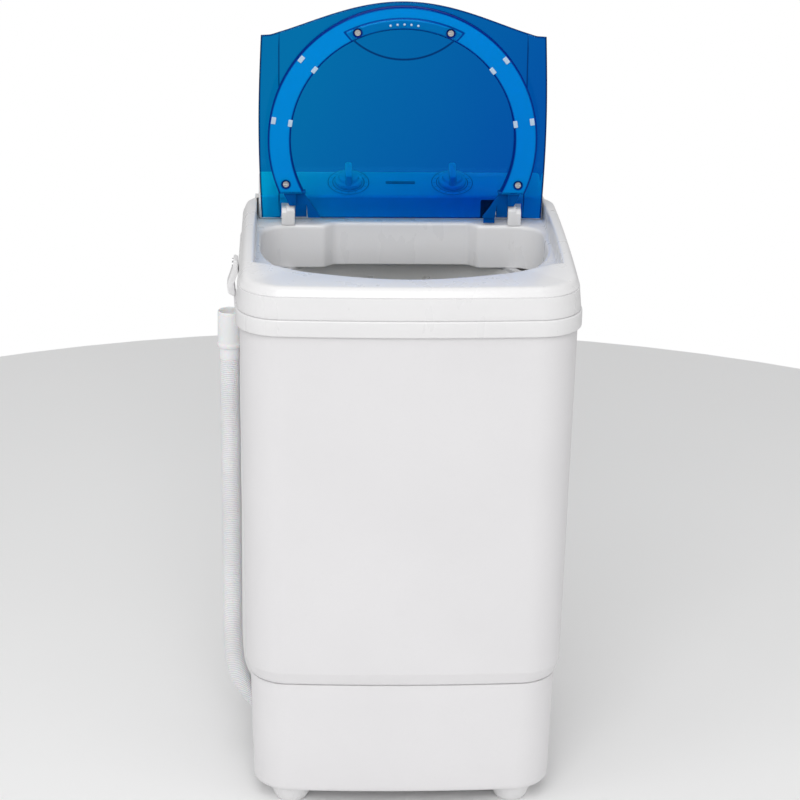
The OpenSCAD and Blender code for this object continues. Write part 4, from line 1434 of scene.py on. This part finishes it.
        # Painted shade: a thin dark ring round each screw boss.
        near = np.minimum(near, 0.7 + 1.1 * np.abs(far - 4.4))
        marks = {"rim_mm": near, "lens_mm": np.where(outer, lens, -20), "crease_mm": np.full(x.shape, 20.0)}
        arch = Shell.from_grid(np.stack([x, -v, z], axis=2), marks=marks)
        side = [self.bar([(109.5, -28.2), (137.8, -28.2), (137.8, -25.2), (109.5, -25.2)], low, top, 0.6),
                self.bar([(135, -25.6), (121.4, -25.6), (121.4, -10.6), (128, -10.6)], -11, top, 1),
                self.bar([(121.4, -25.6), (112.6, -25.6), (92, 4), (107, 4), (108.5, -11.4), (121.4, -11.4)],
                         -8, top, 1),
                self.bar([(120.6, -27), (122.6, -27), (122.6, -11.6), (120.6, -11.6)], -13, top, 0.5)]
        knuckle = turned([(2.56, 0), (4.6, 0), (5, 0.4), (5, 12.6), (4.6, 13), (2.56, 13)], 40)
        side.append(knuckle.moved(ALONG_X, (108.5, 0, 0)))
        gusset = rounded([(-12, -8), (0, -5), (0, -2.56), (-4, top), (-12, top)], 0.7, 4)
        side.append(plate(gusset, 108.5, 121.5, 0.5).moved(ALONG_X, (0, 0, 0)))
        cup = turned([(5.2, low + 3.2), (6, low + 3.2), (6, top), (1.7, top), (1.7, low + 5.8),
                      (5.2, low + 5.8)], 40)
        side += [cup.moved(np.eye(3), (x, -v, 0)) for x, v in self.screws]
        tab = self.bar([(94, 3.5), (107, 3.5), (107, 10.6), (94, 10.6)], -4, top, 0.6)
        shell = joined([arch] + side + [s.mirrored() for s in side] + [tab])
        small = np.arange(len(shell.points)) >= len(arch.points)
        # Painted shade: the legs, gussets, knuckles, screw cups and tab get an even partial darkening in
        # place of edge lines.
        shell.marks["rim_mm"] = np.where(small, 1.75, shell.marks["rim_mm"])
        shell.marks["crease_mm"] = np.full(len(small), 20.0)
        shell.marks["lens_mm"] = np.where(small, -20.0, shell.marks["lens_mm"])
        piece("splash_ring", self.set_open(shell), "ring", Body.LID, ("lid_ring",), 40)

    def bar(self, corners: list, low: float, high: float, radius: float) -> Shell:
        """Flat bar with rounded corners and softened edges.

        Args:
            corners: its outline.
            low: its lower height.
            high: its upper height.
            radius: radius of its corners.

        Returns:
            The shell.
        """
        return plate(rounded(corners, radius, 4), low, high, 0.5, 0.1)

    def clips(self) -> None:
        """Small snap clips that hold the ring's outer and inner walls."""
        shells = []
        for radius, deep in ((self.ring_out - 4.8, 2.6), (self.ring_in + 2.2, 2.4)):
            block = plate(rounded([(-deep, -4), (deep, -4), (deep, 4), (-deep, 4)], 0.8, 4), 0, 1.2, 0.1, 0.5)
            for degrees in self.clip_turns:
                turn = math.radians(degrees)
                c, s = math.cos(turn), math.sin(turn)
                spin = np.array([[c, -s, 0], [s, c, 0], [0, 0, -1.0]])
                shells.append(block.moved(spin, (radius * c, -self.ring_v + radius * s, self.ring_low + 0.3)))
        # Their pale finish is partly a painted highlight for the glints on clear plastic.
        piece("ring_clips", self.set_open(joined(shells)), "clip", Body.LID)

    def grip_nubs(self) -> None:
        """Row of five small bumps in the finger recess."""
        places = [(x, -219.5 + 0.006 * x * x, self.ring_low - 0.8) for x in np.linspace(-15.5, 15.5, 5)]
        nubs = joined([ball(p, 1.5) for p in places])
        # Their pale finish is partly a painted highlight for the glints on clear plastic.
        piece("grip_nubs", self.set_open(nubs), "clip", Body.LID)


@dataclass
class HingePosts:
    """The two posts on the cover that carry the lid's pins."""

    shoulder: float = 5.5
    drop: float = 2.6
    inner: float = 122.0

    def build(self) -> None:
        """Make both posts, each with a lower shoulder on its outer side."""
        low, high = box_mm("hinge_posts")
        y0, y1, z0, z1 = low[1], high[1], low[2], high[2]

        def cheek(start: float, end: float, top: float) -> Shell:
            """Slice of a post.

            Args:
                start: x of its inner face.
                end: x of its outer face.
                top: its height.

            Returns:
                The shell.
            """
            corners = [(y0, z0), (y1, z0), (y1 - 1, top - 5), (y1 - 4, top), (y0 + 3, top), (y0, top - 5)]
            shape = rounded(corners, [0.6, 0.6, 2.5, 2, 2, 2.5], 5)
            return plate(shape, start, end, 0.8).moved(ALONG_X, (0, 0, 0))

        step = high[0] - self.shoulder
        post = joined([cheek(self.inner, step, z1), cheek(step - 1, high[0], z1 - self.drop)])
        both = joined([post, post.mirrored()])
        piece("hinge_post_pair", both, "cover", Body.HOUSING, ("hinge_posts",), 50)


# ---------- Drain hose ----------

# Points that the hose follows, from the elbow under the tub up to its cuff.
HOSE_ROUTE = [[-101, 0, 32], [-109, 0, 32], [-118, 0, 33.5], [-132, 0, 37.5],
              [-147, 0, 44.5], [-160, 0, 53.5], [-171.5, 0, 65], [-180.5, 0, 78],
              [-187.5, 0, 92.5], [-191.5, 0, 108], [-193, 0, 124], [-194, 0, 150],
              [-194, 0, 190], [-194, 0, 230], [-194, 0, 270], [-194, 0, 310], [-194.5, 0, 350],
              [-194.5, 0, 390], [-195, 0, 430], [-195, 0, 465], [-195, 0, 498]]


@dataclass
class DrainHose:
    """Corrugated drain hose, its cuff and the hook that the cuff hangs on."""

    radius: float = 11.5
    pitch: float = 2.3
    groove: float = 0.6
    plain: float = 10.0
    sides: int = 28
    cuff_r: float = 13.0

    def path(self) -> Array:
        """The route as a smooth curve through its points.

        Between two points the curve is the cubic that leaves each of them along the line between
        its neighbours, and the curve is then cut into even steps of a sixth of the ribs' pitch.

        Returns:
            Points down the middle of the hose.
        """
        p = np.array(HOSE_ROUTE, float)
        p = np.vstack([2 * p[0] - p[1], p, 2 * p[-1] - p[-2]])
        t = np.linspace(0, 1, 24, endpoint=False)[None, :, None]
        a, b, c, d = (p[k : len(p) - 3 + k, None] for k in range(4))
        square, cube = 2 * a - 5 * b + 4 * c - d, 3 * b - a - 3 * c + d
        curve = 0.5 * (2 * b + (c - a) * t + square * t**2 + cube * t**3)
        line = np.vstack([curve.reshape(-1, 3), p[-2]])
        run = np.concatenate([[0], np.cumsum(np.linalg.norm(np.diff(line, axis=0), axis=1))])
        at = np.linspace(0, run[-1], int(run[-1] / self.pitch * 6))
        return np.stack([np.interp(at, run, line[:, k]) for k in range(3)], axis=1)

    def build(self) -> None:
        line = self.path()
        along = np.gradient(line, axis=0)
        along /= np.linalg.norm(along, axis=1, keepdims=True)
        across = np.array([0.0, 1, 0])
        out = np.cross(across, along)
        run = np.linspace(0, 1, len(line)) * np.linalg.norm(np.diff(line, axis=0), axis=1).sum()
        ribbed = smooth_step(run, 4, 8) * smooth_step(run[-1] - run, self.plain, self.plain + 3)
        dip = (0.5 - 0.5 * np.cos(2 * np.pi * run / self.pitch)) ** 1.5 * ribbed
        r = self.radius - self.groove * dip
        angle = np.linspace(0, 2 * np.pi, self.sides, endpoint=False)
        round_it = np.cos(angle)[None, :, None] * out[:, None] + np.sin(angle)[None, :, None] * across
        grid = line[:, None] + r[:, None, None] * round_it
        # The groove depth drives the painted shade in the hose's grooves.
        marks = {"groove": np.repeat(dip[:, None], self.sides, axis=1)}
        skin = Shell.from_grid(grid, marks=marks)
        hose = piece("hose_ribbed", skin, "hose", Body.HOUSING, ("drain_hose",), 80)
        low, high = box_mm("hose_cuff")
        z0, z1, r = low[2], high[2], self.cuff_r
        profile = [(r - 1.5, z0), (r - 0.4, z0 + 0.4), (r, z0 + 1.4), (r + 0.6, z0 + 2.4), (r + 1, z0 + 4),
                   (r + 0.6, z0 + 5.6), (r, z0 + 6.6), (r, z0 + 8), (r - 0.1, z1 - 2.2), (r - 0.4, z1 - 0.6),
                   (r - 1, z1), (r - 1.6, z1 - 0.4), (r - 1.9, z1 - 1.4), (r - 2, z0 + 7)]
        cuff = turned(profile, 64, closed=False).moved(np.eye(3), (HOSE_ROUTE[-1][0], 0, 0))
        end = piece("hose_end_cuff", cuff, "hose", Body.HOUSING, ("hose_cuff",), 60)
        self.holder()

    def holder(self) -> None:
        """Bent hook on the cover's side with the prong that enters the cuff."""
        edge = box_mm("hose_holder")[1][0]
        tongue = [(0.3, 601), (-4.6, 603), (-5.2, 594), (-12, 574), (-10.6, 564.5), (-5.4, 561.2),
                  (-2.9, 563.4), (-4.4, 575.5), (0.3, 588.5)]
        spike = [(-5, 563), (-2.4, 565), (-0.9, 531), (-2.4, 526.5), (-3, 531)]
        hook = rounded([(edge + x, z) for x, z in tongue], [0.9, 1.6, 2.5, 3, 3, 1.6, 1.2, 2.5, 0.9], 6)
        prong = rounded([(edge + x, z) for x, z in spike], [0.4, 0.4, 0.3, 0.5, 0.3], 4)
        bent = plate(hook, -12, 12, 0.7).moved(ALONG_Y, (0, 0, 0))
        pin = plate(prong, -5, 5, 0.3).moved(ALONG_Y, (0, 0, 0))
        piece("hose_hook", joined([bent, pin]), "cover", Body.HOUSING, ("hose_holder",), 50)


# ---------- Drive and inside ----------

CAD_LOOKS = {
    "steel": ["underside_screws", "foot_screws", "cabinet_screws", "rear_panel_screws", "cover_screws",
              "panel_screws", "timer_shaft", "selector_shaft", "hinge_pins", "lid_screws", "tub_screws",
              "pulsator_screw", "drive_shaft", "shaft_bearings", "housing_bolts", "motor_bolts",
              "motor_rotor", "pulley_nut", "hose_clamp", "holder_screws"],
    "sheet_steel": ["motor_plate", "capacitor_strap"],
    "cast": ["bearing_housing", "motor_body", "motor_pulley", "drive_pulley"],
    "grey": ["underside_cover", "wash_timer"],
    "dark": ["selector_switch", "switch_plunger", "motor_fan", "cable_gland", "wiring_harness"],
    "rubber": ["shaft_seal", "drive_belt", "drain_elbow"],
    "pale_seal": ["tub_gasket"],
    "panel": ["capacitor"],
}


def dress_cad_nodes() -> None:
    """Give each CAD node that stays in view its finish."""
    for look, nodes in CAD_LOOKS.items():
        for name in nodes:
            data = frame["nodes"][name].data
            data.materials.clear()
            data.materials.append(finish(look))
            LOG.info("%s: %s", name, look)


# ---------- Studio ----------


@dataclass
class Studio:
    """Camera, soft lights, pale floor and plain surroundings."""

    eye: tuple = (-120.4, -2721.0, 1452.3)
    yaw: float = 2.48
    pitch: float = 20.5
    roll: float = 0.92
    lens: float = 115.4
    floor_r: float = 1500.0
    fill: float = 0.52
    behind: tuple = (0.30, 0.27, 0.41)

    def build(self) -> None:
        """Make everything that isn't the object."""
        self.camera()
        self.floor()
        self.world()
        self.lamp("softbox_top", (-200, -600, 2800), (0, 0, 500), 2200, 13)
        self.lamp("softbox_front", (-350, -2600, 2300), (0, 0, 450), 1800, 38)
        self.lamp("softbox_left", (-2300, -1700, 1500), (0, 0, 400), 1500, 7)
        self.lamp("softbox_right", (2300, -1800, 1300), (0, 0, 400), 1500, 4)

    def camera(self) -> None:
        """Camera from its place and its yaw, pitch and roll."""
        yaw, pitch, roll = (math.radians(a) for a in (self.yaw, self.pitch, self.roll))
        ahead = Vector((math.sin(yaw) * math.cos(pitch), math.cos(yaw) * math.cos(pitch), -math.sin(pitch)))
        level = ahead.cross(Vector((0, 0, 1))).normalized()
        upright = level.cross(ahead)
        right = math.cos(roll) * level + math.sin(roll) * upright
        up = math.cos(roll) * upright - math.sin(roll) * level
        data = bpy.data.cameras.new("camera")
        data.lens = self.lens
        data.sensor_width = 36
        data.clip_end = 60
        made = bpy.data.objects.new("camera", data)
        turn = Matrix((right, up, -ahead)).transposed().to_4x4()
        made.matrix_world = Matrix.Translation(Vector(self.eye) * MM) @ turn
        bpy.context.scene.collection.objects.link(made)
        bpy.context.scene.camera = made

    def floor(self) -> None:
        """Round pale floor that the feet stand on."""
        disc = turned([(0.5, -2), (0.5, 0), (self.floor_r, 0), (self.floor_r, -2)], 96)
        mesh = bpy.data.meshes.new("floor")
        mesh.from_pydata((disc.points * MM).tolist(), [], disc.quads.tolist())
        n = Nodes("floor_paint")
        tone = n.blend(n.noise(3, 2), rgba((0.93, 0.93, 0.93)), rgba((0.95, 0.95, 0.95)))
        mesh.materials.append(n.finish({"Base Color": tone, "Roughness": 0.7}))
        made = bpy.data.objects.new("floor", mesh)
        bpy.context.scene.collection.objects.link(made)

    def world(self) -> None:
        """White surroundings, dimmer to other rays and grey-blue through the tinted plastic."""
        world = bpy.data.worlds.new("surroundings")
        bpy.context.scene.world = world
        world.use_nodes = True
        tree = world.node_tree
        ray = add_node(tree, "ShaderNodeLightPath").outputs
        dim = rgba((self.fill, self.fill, self.fill))
        sockets = {0: ray["Is Camera Ray"], 6: dim, 7: rgba((1.0, 1.0, 1.0))}
        seen = add_node(tree, "ShaderNodeMix", sockets, data_type="RGBA").outputs[2]
        sockets = {0: ray["Diffuse Depth"], 1: 0.5}
        first = add_node(tree, "ShaderNodeMath", sockets, operation="LESS_THAN").outputs[0]
        sockets = {0: ray["Is Transmission Ray"], 1: first}
        both = add_node(tree, "ShaderNodeMath", sockets, operation="MULTIPLY").outputs[0]
        sockets = {0: both, 6: seen, 7: rgba(self.behind)}
        through = add_node(tree, "ShaderNodeMix", sockets, data_type="RGBA").outputs[2]
        tree.links.new(through, tree.nodes["Background"].inputs["Color"])

    def lamp(self, name: str, place: tuple, target: tuple, size: float, power: float) -> None:
        """Square soft light.

        Args:
            name: its name.
            place: where it hangs.
            target: what it faces.
            size: its side.
            power: its power in watts.
        """
        data = bpy.data.lights.new(name, "AREA")
        data.size = size * MM
        data.energy = power
        made = bpy.data.objects.new(name, data)
        made.location = Vector(place) * MM
        made.rotation_euler = (Vector(target) - Vector(place)).to_track_quat("-Z", "Y").to_euler()
        bpy.context.scene.collection.objects.link(made)


def main() -> None:
    """Build every sub-assembly in order."""
    logging.basicConfig(level=logging.INFO, format="%(message)s")
    bpy.context.scene.view_settings.view_transform = "Standard"
    Studio().build()
    DrainHose().build()
    outline = Outline(box_mm("top_cover")[1][0])
    Casing().build(outline)
    TopCover().build(outline)
    Controls().build()
    HingePosts().build()
    Lid().build()
    smooth_copy("wash_tub", "tub", Body.HOUSING)
    smooth_copy("pulsator", "tub", Body.AGITATOR)
    dress_cad_nodes()


if __name__ == "__main__":
    main()
